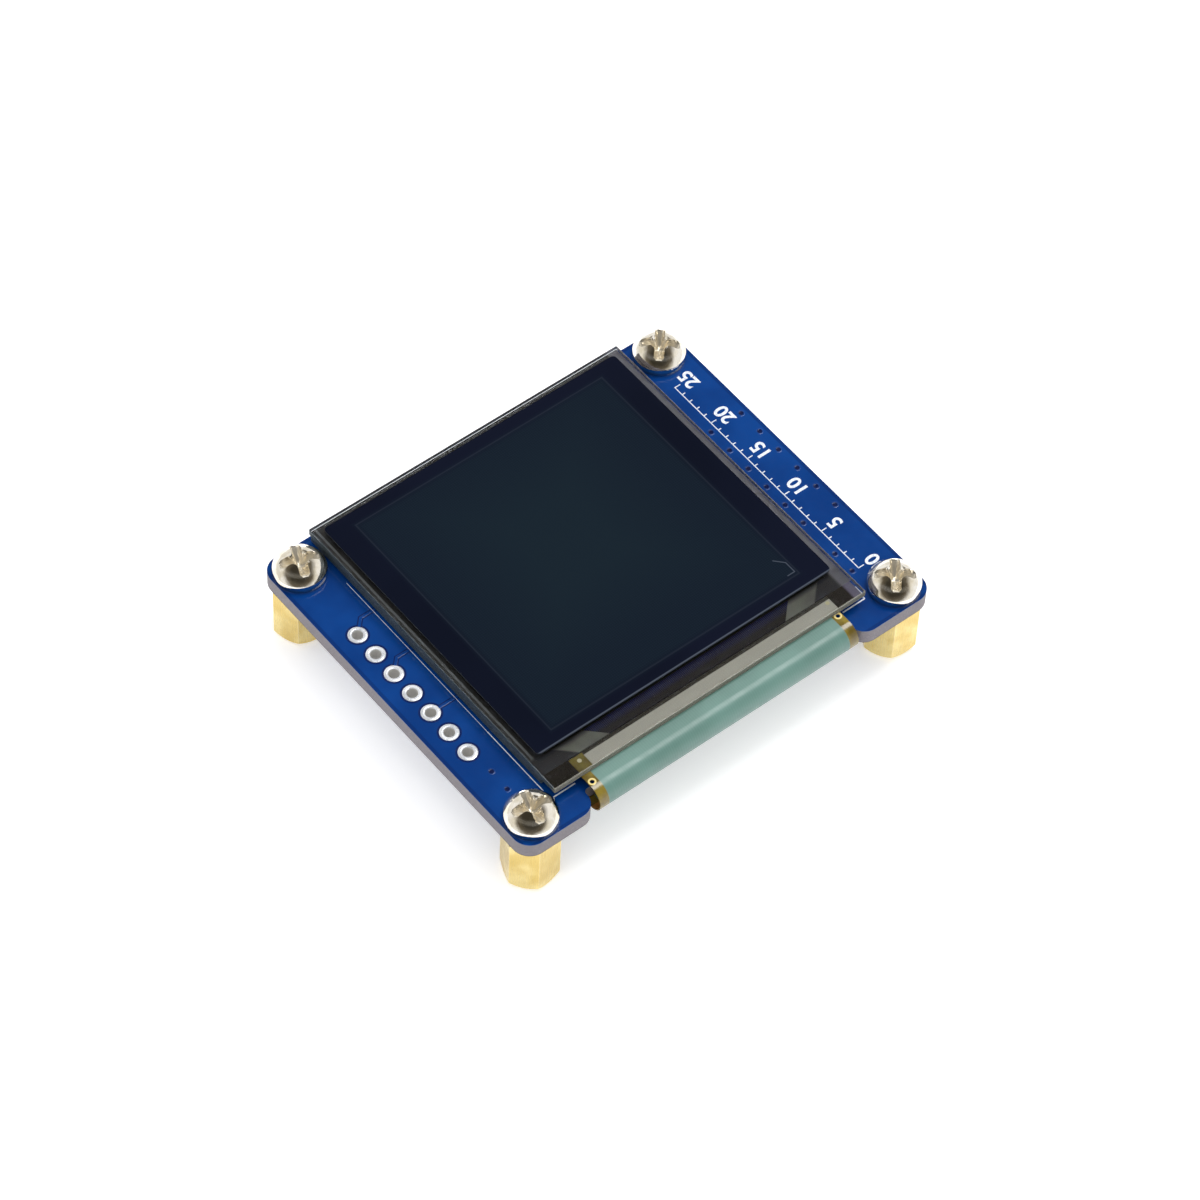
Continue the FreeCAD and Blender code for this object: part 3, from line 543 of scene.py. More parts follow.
def layered_shade(dark, light, scale, low_rough, high_rough, relief):
    """A plain layer that drifts between two colours, with a fine grain and a painted highlight on its edges.
    """
    def shade(point):
        # Painted highlight: the edges are lightened towards twice the light colour.
        edge_highlight = (min(1, part * 2 + 0.02) for part in srgb(light))
        colour = blend(edges(0.05) * 0.35, mottle(point, scale, dark, light), (*edge_highlight, 1))
        grain = noise(point, scale * 8, 4.0, 0.65)
        return colour, spread(grain, low_rough, high_rough), bump(grain, relief, 0.5)
    return shade


# The film's green coat stops short of its sides and of its bonded end.
COAT_MARGIN = 0.95
COAT_START = GLASS_LOW[1] + 0.05
# On its bonded end there are two bright dots and, at its sides, two rings that are painted glints.
DOTS = ((-13.63, -14.62, 0), (13.32, -14.65, 0))
GLINT_RINGS = ((FILM_LOW[0] + 0.4, -16.77, 0), (FILM_HIGH[0] - 0.4, -16.07, 0))


def film_shade(point):
    """Amber film with copper tracks, under a green coat that leaves its margins and its bonded end bare."""
    x, y, z = parts_of(point)
    left, right = FILM_LOW[0] + COAT_MARGIN, FILM_HIGH[0] - COAT_MARGIN
    front, back = FILM_LOW[1] - 2, FILM_HIGH[1] + 2
    below, above = FILM_LOW[2] - 1, FILM_HIGH[2] + 1
    coat = most(inside_box(point, (left, front, below), (right, COAT_START, above), 0.1),
                inside_box(point, (left, front, below), (right, JOINTS_LOW[1] - 0.5, FILM_LOW[2] + 0.5), 0.1))
    on_top = beyond(z, FILM_HIGH[2] - 0.12, FILM_HIGH[2] - 0.05)

    lines = stripes(x, 0.24, 0.55)
    copper = lines * inside_box(point, (left + 0.6, front, below), (right - 0.6, back, above), 0.1)
    green = blend(copper * 0.1, mottle(point, 0.12, (88, 127, 118), (98, 138, 129)), (130, 166, 152))

    bond = blend(lines * 0.12, (214, 208, 194), (228, 222, 208))
    # It ends in a dark line where the film's cut edge meets the cover glass: a dark joint, with the cover
    # glass's shadow painted into it.
    bond = blend(beyond(y, COVER_LOW[1] - 0.45, COVER_LOW[1] - 0.35), bond, (34, 30, 26))
    bonded = inside_box(point, (FILM_LOW[0] + 1.4, COAT_START, FILM_HIGH[2] - 0.3),
                        (FILM_HIGH[0] + 0.5, back, above), 0.1)
    bare = blend(bonded * on_top, mottle(point, 0.5, (98, 81, 20), (142, 123, 42)), bond)
    outward = parts_of(add("ShaderNodeNewGeometry", output="True Normal"))
    inner_face = between(outward[1], 0.05, 0.2) * beyond(z, FILM_HIGH[2] - 0.05, FILM_HIGH[2] - 0.12)
    bare = blend(inner_face * 0.8, bare, (176, 118, 50))
    dots = most(*(near_point(point, centre, 0.2) for centre in DOTS))
    bare = blend(dots * on_top, bare, (236, 226, 180))
    # Painted glint: a bright cream ring round each of two places at the film's sides.
    discs = ((near_point(point, centre, 0.36), near_point(point, centre, 0.2)) for centre in GLINT_RINGS)
    rings = most(*(maths("SUBTRACT", outer, inner, clamp=True) for outer, inner in discs))
    bare = blend(rings * on_top, bare, (236, 214, 140))

    grain = noise(point, 1.2, 3.0)
    roughness = spread(grain, 0.35, 0.42) - (1.0 - coat) * 0.18
    return blend(coat, bare, green), roughness, bump(grain * 0.5 + copper * 0.5, 0.008, 0.5)


def via_shade(point):
    """Plated hole under the mask: a low ring with a dark middle."""
    fine = noise(point, 3.0)
    colour = blend(hollow(), mottle(point, 0.16, MASK_DARK, MASK_LIGHT), (0, 18, 66))
    return colour, spread(fine, 0.14, 0.24), bump(fine, 0.01, 0.5)


def bare_shade(point):
    """Mask straight over laminate, darker than over copper, with the weave faintly raised."""
    x, y, z = parts_of(point)
    colour = mottle(point, 0.3, BARE_BLUE, tuple(level + 8 for level in BARE_BLUE))
    return colour, spread(noise(point, 2.0), 0.12, 0.2), bump(weave(x, y), 0.006, 0.5)


def barrel_shade(point):
    """Reflowed tin, bright on the pads and dull inside the barrel."""
    inside = hollow()
    fine = noise(point, 2.5, 4.0, 0.6)
    colour = blend(inside, mottle(point, 0.75, (214, 218, 224), (240, 243, 248)), (206, 204, 200))
    roughness = spread(fine, 0.22, 0.36) + inside * 0.25
    return colour, roughness, bump(fine, 0.02, 0.5), {"Metallic": (1.0 - inside) * 0.4}


def ink_shade(point):
    """White printing ink, slightly thin in places, with a grainy edge."""
    fine = noise(point, 5.0, 4.0, 0.7)
    colour = blend(between(fine, 0.35, 0.6), (196, 208, 226), (244, 246, 250))
    return colour, spread(fine, 0.4, 0.6), bump(fine, 0.015, 0.6)


def resin_shade(dark, light, pale_from=None):
    """Cured resin with a smooth, slightly wavy skin. It may be paler on the right of a place along X."""
    def shade(point):
        colour = mottle(point, 0.7, dark, light)
        if pale_from is not None:
            colour = blend(beyond(parts_of(point)[0], pale_from, pale_from + 0.3), colour, (124, 118, 142))
        wave = noise(point, 0.9, 3.0)
        return colour, spread(wave, 0.12, 0.3), bump(wave, 0.012, 0.5)
    return shade


CHIP_END = 0.35


def chip_shade(name, dark, light, coated=False):
    """Ceramic chip with tinned ends; coated ones have a black coat on the face that looks down."""
    low, high = millimetres(name)
    long_axis = 0 if high[0] - low[0] > high[1] - low[1] else 1
    inner_low, inner_high = low - 1, high + 1
    inner_low[long_axis] = low[long_axis] + CHIP_END
    inner_high[long_axis] = high[long_axis] - CHIP_END

    def shade(point):
        middle = inside_box(point, tuple(inner_low), tuple(inner_high), 0.03)
        body = mottle(point, 1.5, dark, light)
        if coated:
            body = blend(facing(output="Down"), body, (22, 22, 24))
        colour = blend(middle, mottle(point, 1.2, (188, 188, 186), (226, 226, 224)), body)
        # Painted highlight: the edges are lightened to pale grey.
        colour = blend(edges(0.05) * 0.3, colour, (220, 214, 204))
        grain = noise(point, 6.0, 4.0, 0.7)
        roughness = middle * 0.25 + spread(grain, 0.2, 0.4)
        return colour, roughness, bump(grain, 0.02, 0.5), {"Metallic": 1.0 - middle}
    return shade


def package_shade(name):
    """Black moulding with a fine matt skin, and a round dimple near one corner of its face."""
    x, y, z = millimetres(name)[0]

    def shade(point):
        dimple = facing(output="Down") * near_point(point, (x + 0.45, y + 0.45, 0), 0.18)
        # Painted highlight: the edges are lightened to grey.
        colour = blend(edges(0.06) * 0.4, mottle(point, 1.2, (26, 26, 28), (40, 40, 42)), (82, 82, 84))
        grain = noise(point, 14.0, 4.0, 0.7)
        return colour, spread(grain, 0.5, 0.7) - dimple * 0.3, bump(grain * 0.3 - dimple, 0.05, 0.7)
    return shade


def winding_shade(point):
    """Enamelled copper wire, its turns drawn as stripes up the winding, with painted shade in the grooves
    between them.
    """
    turns = stripes(parts_of(point)[2], 0.16, 0.7)
    # Painted shade: the dark bands between the turns.
    colour = blend(turns, (70, 32, 16), mottle(point, 1.0, (150, 78, 38), (200, 116, 60)))
    return colour, between(turns, 0, 1, 0.5, 0.25), bump(turns, 0.06, 0.8)


def floor_shade(point):
    """Pale paper, a touch lighter to what looks straight at it, so that it is white and keeps the shadow."""
    paper = mottle(point, 0.01, (0.86, 0.86, 0.865, 1), (0.88, 0.88, 0.885, 1))
    seen = most(ray("Camera"), ray("Glossy"), ray("Transmission"))
    glow = blend(seen, (0, 0, 0, 1), (0.45, 0.45, 0.45, 1))
    # It is clear from below, so that the part's underside can be looked at.
    below = add("ShaderNodeNewGeometry", output="Backfacing")
    return paper, 0.9, None, {"Emission Color": glow, "Alpha": 1.0 - below}


MASK_BLUE = material("glossy_blue_mask", board_shade, IOR=1.5, Specular_IOR_Level=0.35)
NICKEL = material("bright_nickel", screw_shade)
BRASS = material("turned_brass", brass_shade, Metallic=1.0)
TIN = material("reflowed_tin", tin_shade, Metallic=0.75)
GLASS = material("cut_glass", glass_shade, Transmission_Weight=1.0, IOR=1.5)
FROST = material("ground_edge", frost_shade)
POLARIZER = material("polarizer_film", polarizer_shade, IOR=1.48, Specular_IOR_Level=0.16)
SEAL = material("panel_seal", seal_shade, Specular_IOR_Level=0.1)
TAPE = material("black_foam_tape", layered_shade((20, 20, 22), (34, 34, 38), 0.9, 0.7, 0.9, 0.06))
EMITTER = material("dark_layers", layered_shade((16, 22, 30), (24, 30, 38), 0.4, 0.2, 0.35, 0.01))
FILM = material("coated_film", film_shade, IOR=1.5, Specular_IOR_Level=0.85)
ADHESIVE = material("adhesive_strip", layered_shade((190, 178, 146), (214, 204, 176), 0.8, 0.5, 0.7, 0.03))
DIE = material("ground_silicon", layered_shade((30, 31, 36), (48, 50, 58), 0.7, 0.16, 0.3, 0.01),
               Specular_IOR_Level=0.8)
FERRITE = material("sintered_ferrite", layered_shade((46, 46, 50), (68, 68, 72), 1.4, 0.6, 0.85, 0.05))
WINDING = material("enamelled_copper", winding_shade, Metallic=0.8)
BARREL = material("tinned_barrel", barrel_shade)
VIA = material("tented_hole", via_shade, IOR=1.5, Specular_IOR_Level=0.35)
BARE_MASK = material("mask_over_laminate", bare_shade, IOR=1.5, Specular_IOR_Level=0.35)
INK = material("white_ink", ink_shade)
BROWN_RESIN = material("brown_resin", resin_shade((12, 10, 10), (28, 23, 30), GLASS_HIGH[0] - 1.2),
                       Specular_IOR_Level=0.15)
BLACK_RESIN = material("black_resin", resin_shade((18, 18, 20), (32, 31, 34)))
PAPER = material("pale_floor", floor_shade, Emission_Strength=1.0)

FINISHES = {
    "circuit_board": MASK_BLUE, "mounting_tape": TAPE, "edge_seal": SEAL, "emitter_layer": EMITTER,
    "display_glass": GLASS, "cover_glass": GLASS, "polarizer": POLARIZER, "display_film": FILM,
    "film_adhesive": ADHESIVE, "driver_chip": DIE, "tail_joints": TIN, "regulator_leads": TIN,
    "converter_leads": TIN, "diode_leads": TIN, "inductor_shield": FERRITE, "inductor_drum": FERRITE,
    "inductor_winding": WINDING,
}
for corner in CORNERS:
    FINISHES[f"screw_{corner}"] = NICKEL
    FINISHES[f"standoff_{corner}"] = BRASS
CAPACITORS = [name for name in frame["nodes"] if name.startswith("capacitor")]
RESISTORS = [name for name in frame["nodes"] if name.startswith("resistor")]
PACKAGES = [name for name in frame["nodes"] if name.endswith("_body")]
for name in CAPACITORS:
    FINISHES[name] = material(f"{name}_ceramic", chip_shade(name, (150, 116, 78), (178, 144, 104)))
for name in RESISTORS:
    FINISHES[name] = material(f"{name}_ceramic", chip_shade(name, (214, 212, 206), (232, 230, 226), True))
for name in PACKAGES:
    FINISHES[name] = material(f"{name}_moulding", package_shade(name))
for name, finish in FINISHES.items():
    for slot in frame["nodes"][name].material_slots:
        slot.material = finish


# Shapes: each is an array of points, in millimetres, and an array of four-cornered faces

def quads(rows, columns, wrap_rows=False, wrap_columns=False):
    """Faces of a grid of points: each joins two neighbours in a row and the two beside them in the next."""
    row = np.arange(rows if wrap_rows else rows - 1)[:, None]
    column = np.arange(columns if wrap_columns else columns - 1)[None, :]
    next_row = (row + 1) % rows
    next_column = (column + 1) % columns
    corners = (row * columns + column, row * columns + next_column,
               next_row * columns + next_column, next_row * columns + column)
    return np.stack(np.broadcast_arrays(*corners), axis=-1).reshape(-1, 4)


def grid(points, wrap_rows=False, wrap_columns=False):
    """A shape from points in rows and columns."""
    rows, columns = points.shape[:2]
    return points.reshape(-1, 3), quads(rows, columns, wrap_rows, wrap_columns)


def joined(shapes):
    """Several shapes as one."""
    counts = [len(points) for points, faces in shapes]
    firsts = np.cumsum([0] + counts[:-1])
    return (np.concatenate([points for points, faces in shapes]),
            np.concatenate([faces + first for (points, faces), first in zip(shapes, firsts)]))


# Corners sharper than this many degrees stay sharp, and points nearer than this many metres are one.
SHARP_ANGLE = 40
DOUBLED = 1e-8


def piece(name, shape, finish, smooth=True, values=None, replaced=()):
    """A new piece that rides on the part. Doubled points are merged, and its faces point outwards.

    values gives the name of an attribute and its number at each point.
    """
    points, faces = shape
    mesh = bpy.data.meshes.new(name)
    mesh.from_pydata((points * MM).tolist(), [], faces.tolist())
    if values:
        made = mesh.attributes.new(values[0], "FLOAT", "POINT")
        made.data.foreach_set("value", values[1].astype(np.float32))
    work = bmesh.new()
    work.from_mesh(mesh)
    bmesh.ops.remove_doubles(work, verts=work.verts, dist=DOUBLED)
    bmesh.ops.dissolve_degenerate(work, edges=work.edges, dist=DOUBLED / 10)
    bmesh.ops.recalc_face_normals(work, faces=work.faces)
    work.to_mesh(mesh)
    work.free()
    mesh.polygons.foreach_set("use_smooth", np.full(len(mesh.polygons), smooth))
    if smooth:
        mesh.set_sharp_from_angle(angle=math.radians(SHARP_ANGLE))
    mesh.materials.append(finish)
    made = linked(name, mesh)
    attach(made, "root")
    if replaced:
        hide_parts(*replaced)
    return made


ROUND = 48


def lathe(profile, centre, segments=ROUND, lumps=None):
    """A profile of radius and height turned about an upright line.

    Point (i, j) is the centre plus (r_i cos a_j, r_i sin a_j, z_i), with a_j from 0 to a full turn. lumps
    gives an array that is added to the heights.
    """
    radius, height = np.array(profile, float).T
    angle = np.linspace(0, 2 * np.pi, segments, endpoint=False)
    z = np.broadcast_to(height[:, None], (len(radius), segments)) + (0 if lumps is None else lumps)
    points = np.stack([radius[:, None] * np.cos(angle), radius[:, None] * np.sin(angle), z], axis=-1)
    return grid(points + np.array(centre, float), wrap_columns=True)


CORNER_STEPS = 6


def rounded_rectangle(low, high, corner, steps=CORNER_STEPS):
    """Outline of a rectangle whose corners are quarter circles, anticlockwise."""
    turn = np.linspace(0, np.pi / 2, steps + 1)
    arcs = []
    for quarter, (right, back) in enumerate(((1, 1), (-1, 1), (-1, -1), (1, -1))):
        x, y = (high if right > 0 else low)[0], (high if back > 0 else low)[1]
        centre = np.array([x, y]) - corner * np.array([right, back])
        angle = turn + quarter * np.pi / 2
        arcs.append(centre + corner * np.stack([np.cos(angle), np.sin(angle)], axis=-1))
    return np.concatenate(arcs)


def at_height(plan, z):
    """A plan's points, all at one height."""
    return np.column_stack([plan, np.full(len(plan), z)])


def rounded_slab(low, high, corner, chamfer):
    """A flat plate whose upper and lower edges are cut back by a chamfer.

    Each row is the outline moved inwards by an inset, at one height; the first and last rows shrink to
    the middle.
    """
    middle = (np.array(low[:2]) + np.array(high[:2])) / 2
    rows = []
    for inset, z in ((None, low[2]), (chamfer, low[2]), (0, low[2] + chamfer), (0, high[2] - chamfer),
                     (chamfer, high[2]), (None, high[2])):
        if inset is None:
            plan = np.broadcast_to(middle, (4 * (CORNER_STEPS + 1), 2))
        else:
            plan = rounded_rectangle(np.array(low[:2]) + inset, np.array(high[:2]) - inset, corner - inset)
        rows.append(at_height(plan, z))
    return grid(np.array(rows), wrap_columns=True)


def stroke(path, width, low, high, closed=False):
    """A flat raised line along a path in plan, with sloping sides.

    At each point of the path the section is four points across it: both feet at the low height, and both
    shoulders, a fifth of the width inside them, at the high one.
    """
    path = np.array(path, float)
    if closed:
        ahead = np.roll(path, -1, axis=0) - path
        behind = path - np.roll(path, 1, axis=0)
    else:
        ahead = np.diff(path, axis=0, append=path[-1:] + (path[-1:] - path[-2:-1]))
        behind = np.diff(path, axis=0, prepend=path[:1] - (path[1:2] - path[:1]))
    ahead = ahead / np.linalg.norm(ahead, axis=1, keepdims=True)
    behind = behind / np.linalg.norm(behind, axis=1, keepdims=True)
    along = ahead + behind
    along = along / np.linalg.norm(along, axis=1, keepdims=True)
    across = np.stack([-along[:, 1], along[:, 0]], axis=-1)
    stretch = 1 / np.maximum(0.5, np.sum(along * ahead, axis=1))[:, None]
    offsets = np.array([-0.5, -0.3, 0.3, 0.5]) * width
    heights = np.array([low, high, high, low])
    plan = path[:, None, :] + offsets[None, :, None] * (across * stretch)[:, None, :]
    points = np.concatenate([plan, np.broadcast_to(heights[None, :, None], (*plan.shape[:2], 1))], axis=-1)
    if not closed:
        ends = [np.broadcast_to(points[k].mean(axis=0), points[k].shape)[None] for k in (0, -1)]
        points = np.concatenate([ends[0], points, ends[1]])
    return grid(points, wrap_rows=closed, wrap_columns=True)


# Panel

GLASS_CLEARANCE, GLASS_CORNER, GLASS_CHAMFER = 0.004, 0.12, 0.06
GLASSES = ("display_glass", "cover_glass")


def ground_box(name):
    """Both corners of a glass, a hair inside its solid so that its faces don't coincide with others."""
    low, high = millimetres(name)
    return low + GLASS_CLEARANCE, high - GLASS_CLEARANCE


def panel_glasses():
    """Both glasses with ground edges."""
    for name in GLASSES:
        shape = rounded_slab(*ground_box(name), GLASS_CORNER, GLASS_CHAMFER)
        piece(f"{name}_ground", shape, GLASS, smooth=False, replaced=[name])


def ground_edges():
    """A frosted skin over the cut edges and chamfers of both glasses, where grinding has left them matt.

    It follows the slab's outline two microns further out, and comes back one micron inside itself.
    """
    for name in GLASSES:
        low, high = ground_box(name)
        steps = ((GLASS_CHAMFER, low[2]), (0, low[2] + GLASS_CHAMFER), (0, high[2] - GLASS_CHAMFER),
                 (GLASS_CHAMFER, high[2]))
        rows = []
        for out, order in ((0.002, steps), (0.001, steps[::-1])):
            for inset, z in order:
                inset = inset - out
                plan = rounded_rectangle(low[:2] + inset, high[:2] - inset, GLASS_CORNER - inset)
                rows.append(at_height(plan, z))
        shape = grid(np.array(rows), wrap_rows=True, wrap_columns=True)
        piece(f"{name}_frost", shape, FROST, smooth=False)


LEDGE_BEAD = 0.42


def ledge_resin():
    """A bead of brown resin under each end of the glass ledge, beside the film.

    With u and v from -1 to 1 across it, its thickness is the bead's times sqrt((1 - u^6)(1 - v^6)), so it
    thins out to nothing at its border.
    """
    across = np.linspace(-1, 1, 25)
    for name, low_x, high_x in (("left", GLASS_LOW[0] + 0.25, FILM_LOW[0] - 0.02),
                                ("right", FILM_HIGH[0] + 0.02, GLASS_HIGH[0] - 0.25)):
        u, v = np.meshgrid(across, across, indexing="ij")
        x = (low_x + high_x) / 2 + u * (high_x - low_x) / 2
        y = (GLASS_LOW[1] + COVER_LOW[1]) / 2 + 0.1 + v * ((COVER_LOW[1] - GLASS_LOW[1]) / 2 - 0.12)
        bulge = LEDGE_BEAD * np.sqrt(np.clip(1 - u ** 6, 0, 1)) * np.sqrt(np.clip(1 - v ** 6, 0, 1))
        top = np.full_like(x, GLASS_LOW[2] - GLASS_CLEARANCE)
        lower = np.stack([x, y, top - bulge - 0.002], axis=-1)
        upper = np.stack([x, y, top], axis=-1)
        rows = np.concatenate([upper, lower[::-1]])
        piece(f"ledge_resin_{name}", grid(rows, wrap_rows=True), BROWN_RESIN)


panel_glasses()
ground_edges()
ledge_resin()


# Board

def plated_holes():
    """Tinned barrel and pads of each hole in the row.

    The section is a closed loop of radius and height; the heights of its crowned rims also rise and fall
    along a sum of sine waves, as solder does.
    """
    angle = np.linspace(0, 2 * np.pi, ROUND, endpoint=False)
    bore = HOLE_RADIUS - 0.015
    rim = [(bore, -0.1), (bore, -0.02), (bore + 0.03, 0.02), (bore + 0.09, 0.045), (bore + 0.17, 0.055),
           (bore + 0.26, 0.045), (PAD_RADIUS - 0.03, 0.02), (PAD_RADIUS, 0.006), (PAD_RADIUS + 0.01, -0.003)]
    rising = np.array([0, 0, 0.4, 0.8, 1, 0.9, 0.6, 0.1, 0])
    for number, y in enumerate(HOLE_YS, start=1):
        waves = np.sin(2 * angle + number * 1.7) + 0.6 * np.sin(3 * angle + number * 2.9)
        crowned = 0.012 * rising[:, None] * waves[None, :]
        upper = [(r, TOP + z) for r, z in rim]
        lower = [(r, UNDERSIDE - z) for r, z in reversed(rim)]
        outside = [(HOLE_RADIUS + 0.01, TOP - 0.003), (HOLE_RADIUS + 0.01, UNDERSIDE + 0.003)]
        profile = upper + outside + lower + upper[:1]
        lumps = np.concatenate([crowned, np.zeros((2, ROUND)), -crowned[::-1], np.zeros((1, ROUND))])
        shape = lathe(profile, (HOLE_X, y, 0), lumps=lumps)
        inside = np.repeat(np.array(profile)[:, 0] <= bore + 0.001, ROUND)
        piece(f"plated_hole_{number}", shape, BARREL, values=("hollow", inside))


OUTER_VIAS = [(21.4, y) for y in (6.55, 4.0, 1.45, -1.1, -3.65, -6.2)]
INNER_VIAS = [(17.93, y) for y in (6.5, 3.96, 1.4, -1.1, -3.6, -6.07, -10.3, -12.6)]
LEFT_VIAS = [(-19.55, -10.35), (-19.6, -12.55)]
UNDER_VIAS = [(-12.2, 9.4), (-11.0, 2.4), (-5.8, 1.4), (-1.2, 5.9), (3.1, -1.4), (9.9, 3.4), (9.9, 8.6),
              (12.4, 1.0), (12.4, -4.2), (-11.6, -4.4), (-11.6, -7.2), (12.4, 12.0), (1.0, 12.4),
              (-4.6, 12.4)]
VIA_ROUND = 24


def vias():
    """Small plated holes under the mask: each is a low turned ring with a hollow in its middle."""
    profile = np.array([(0, -0.004), (0.36, -0.004), (0.33, 0.005), (0.27, 0.01), (0.23, 0.01), (0.19, 0.002),
                        (0.1, 0.001), (0, 0.001)])
    inside = np.array([0, 0, 0, 0, 0.5, 1, 1, 1])
    rings = [lathe(profile, (x, y, TOP), VIA_ROUND) for x, y in OUTER_VIAS + INNER_VIAS + LEFT_VIAS]
    rings += [lathe(profile * np.array([1, -1]), (x, y, UNDERSIDE), VIA_ROUND)
              for x, y in OUTER_VIAS + INNER_VIAS + UNDER_VIAS]
    values = np.tile(np.repeat(inside, VIA_ROUND), len(rings))
    piece("vias", joined(rings), VIA, values=("hollow", values))


# Copper tracks under the solder mask, each from one place to the next in plan.
TOP_TRACKS = [
    [(HOLE_X, HOLE_YS[6]), (HOLE_X + 1.3, HOLE_YS[6] + 1.3), (HOLE_X + 4.0, HOLE_YS[6] + 1.3)],
    [(HOLE_X, HOLE_YS[4]), (HOLE_X + 1.2, HOLE_YS[4] + 1.2), (HOLE_X + 4.0, HOLE_YS[4] + 1.2)],
    [(HOLE_X, HOLE_YS[2]), (HOLE_X + 3.4, HOLE_YS[2])],
]
# Below, each hole has a track: it runs straight to the X that comes first here, and then through the places.
BOTTOM_TRACKS = [[(HOLE_X, y), (bend, y), *places] for y, (bend, *places) in zip(HOLE_YS, (
    (-15.0, (-13.2, HOLE_YS[0] + 1.8), (-13.2, -2.0), (-11.0, 0.2), (-6.5, 0.2)),
    (-16.2, (-14.2, -3.08), (-14.2, -0.6), (-12.2, 1.4), (-5.6, 1.4)),
    (-17.4, (-15.2, -0.34), (-15.2, 2.1), (-13.4, 3.9), (-8.9, 3.9)),
    (-17.4, (-16.2, 1.2), (-16.2, 4.4), (-15.1, 5.5), (-4.5, 5.5), (-4.5, 4.6)),
    (-17.6, (-17.2, 2.94), (-17.2, 5.4), (-15.9, 6.7), (-2.2, 6.7), (-2.2, 7.6)),
    (-18.0, (-15.5, 7.58), (-10.0, 7.58)),
    (-17.0, (-12.6, 12.02), (-9.3, 12.02)),
))]
BOTTOM_TRACKS += [
    [(-3.0, -2.6), (-3.0, -0.9), (-1.6, 0.5), (-0.2, 0.5)],
    [(3.0, -2.6), (3.0, 0.4), (4.7, 2.1)],
    [(5.6, -2.6), (5.6, -0.6), (7.4, 1.2), (7.4, 2.4)],
    [(6.4, 8.6), (7.4, 8.6)],
    [(1.6, 5.3), (1.6, 6.4), (2.4, 7.2)],
]
TRACK_WIDTH = 0.3
TRACK_GAP = 0.14


def from_pad(path):
    """The path, begun at the rim of the plated hole's pad if it starts at a hole."""
    path = np.array(path, float)
    if path[0, 0] == HOLE_X:
        step = path[1] - path[0]
        path[0] += step / np.linalg.norm(step) * (PAD_RADIUS - 0.12)
    return path


def tracks():
    """Copper tracks that show through the mask, each between two strips where the copper is cleared away.

    A dark ring, turned round each plated hole's pad, clears it as well.
    """
    copper, cleared = [], []
    ring = np.array([(PAD_RADIUS - 0.1, -0.002), (PAD_RADIUS + 0.2, -0.002), (PAD_RADIUS + 0.19, 0.003),
                     (PAD_RADIUS - 0.1, 0.003), (PAD_RADIUS - 0.1, -0.002)])
    for paths, surface, out in ((TOP_TRACKS, TOP, 1), (BOTTOM_TRACKS, UNDERSIDE, -1)):
        sunk = surface - out * 0.002
        for path in map(from_pad, paths):
            cleared.append(stroke(path, TRACK_WIDTH + 2 * TRACK_GAP, sunk, surface + out * 0.002))
            copper.append(stroke(path, TRACK_WIDTH, sunk, surface + out * 0.01))
        for y in HOLE_YS:
            cleared.append(lathe(ring * np.array([1, out]), (HOLE_X, y, surface)))
    piece("cleared_copper", joined(cleared), BARE_MASK, smooth=False)
    piece("copper_tracks", joined(copper), MASK_BLUE, smooth=False)


INK_TOP = 0.014
SCALE_X = 18.58
SCALE_START = -12.7
SCALE_LENGTH = 25
LONG_TICK = 5


def ink_lines():
    """Printed lines: a border beside the panel, and a scale with a tick every millimetre."""
    left, right, front = GLASS_LOW[0] - 0.1, GLASS_HIGH[0] + 0.3, GLASS_LOW[1] + 0.35
    lines = [
        ((left + 0.05, front), (-14.75, front), 0.14),
        ((14.4, front), (right, front), 0.14),
        ((left, 12.6), (left, -7.0), 0.05),
        ((left, -7.0), (left, front), 0.09),
        ((right, front), (right, -14.2), 0.12),
    ]
    for tick in range(SCALE_LENGTH + 1):
        y = SCALE_START + tick
        lines.append(((SCALE_X, y), (SCALE_X + (0.34 if tick % LONG_TICK else 0.6), y), 0.11))
    lines.append(((SCALE_X, SCALE_START - 0.05), (SCALE_X, SCALE_START + SCALE_LENGTH + 0.05), 0.1))
    shapes = [stroke([one, other], width, TOP - 0.002, TOP + INK_TOP) for one, other, width in lines]
    piece("printed_lines", joined(shapes), INK, smooth=False)


DIGIT_HEIGHT = 1.35
DIGIT_X = 19.4
# A digit's height as a share of the text's size, and how much each stroke is widened.
DIGIT_SHARE = 0.72
DIGIT_WIDER = 0.045


def scale_digits():
    """Plain numbers beside the scale, every five millimetres. They read along +Y."""
    for number in range(0, SCALE_LENGTH + 1, LONG_TICK):
        curve = bpy.data.curves.new(f"digits_{number}", "FONT")
        curve.body = str(number)
        curve.size = DIGIT_HEIGHT / DIGIT_SHARE * MM
        curve.align_x = "CENTER"
        curve.extrude = INK_TOP * MM / 2
        curve.offset = DIGIT_WIDER * MM
        text = linked(f"digits_{number}", curve)
        bpy.context.view_layer.update()
        mesh = bpy.data.meshes.new_from_object(text.evaluated_get(bpy.context.evaluated_depsgraph_get()))
        bpy.data.objects.remove(text)
        place = Vector((DIGIT_X + DIGIT_HEIGHT, SCALE_START + number, TOP + INK_TOP / 2)) * MM
        mesh.transform(Matrix.Translation(place) @ Matrix.Rotation(math.radians(90), 4, "Z"))
        mesh.materials.clear()
        mesh.materials.append(INK)
        made = linked(f"scale_number_{number}", mesh)
        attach(made, "root")


plated_holes()
vias()
tracks()
ink_lines()
scale_digits()


# Screws

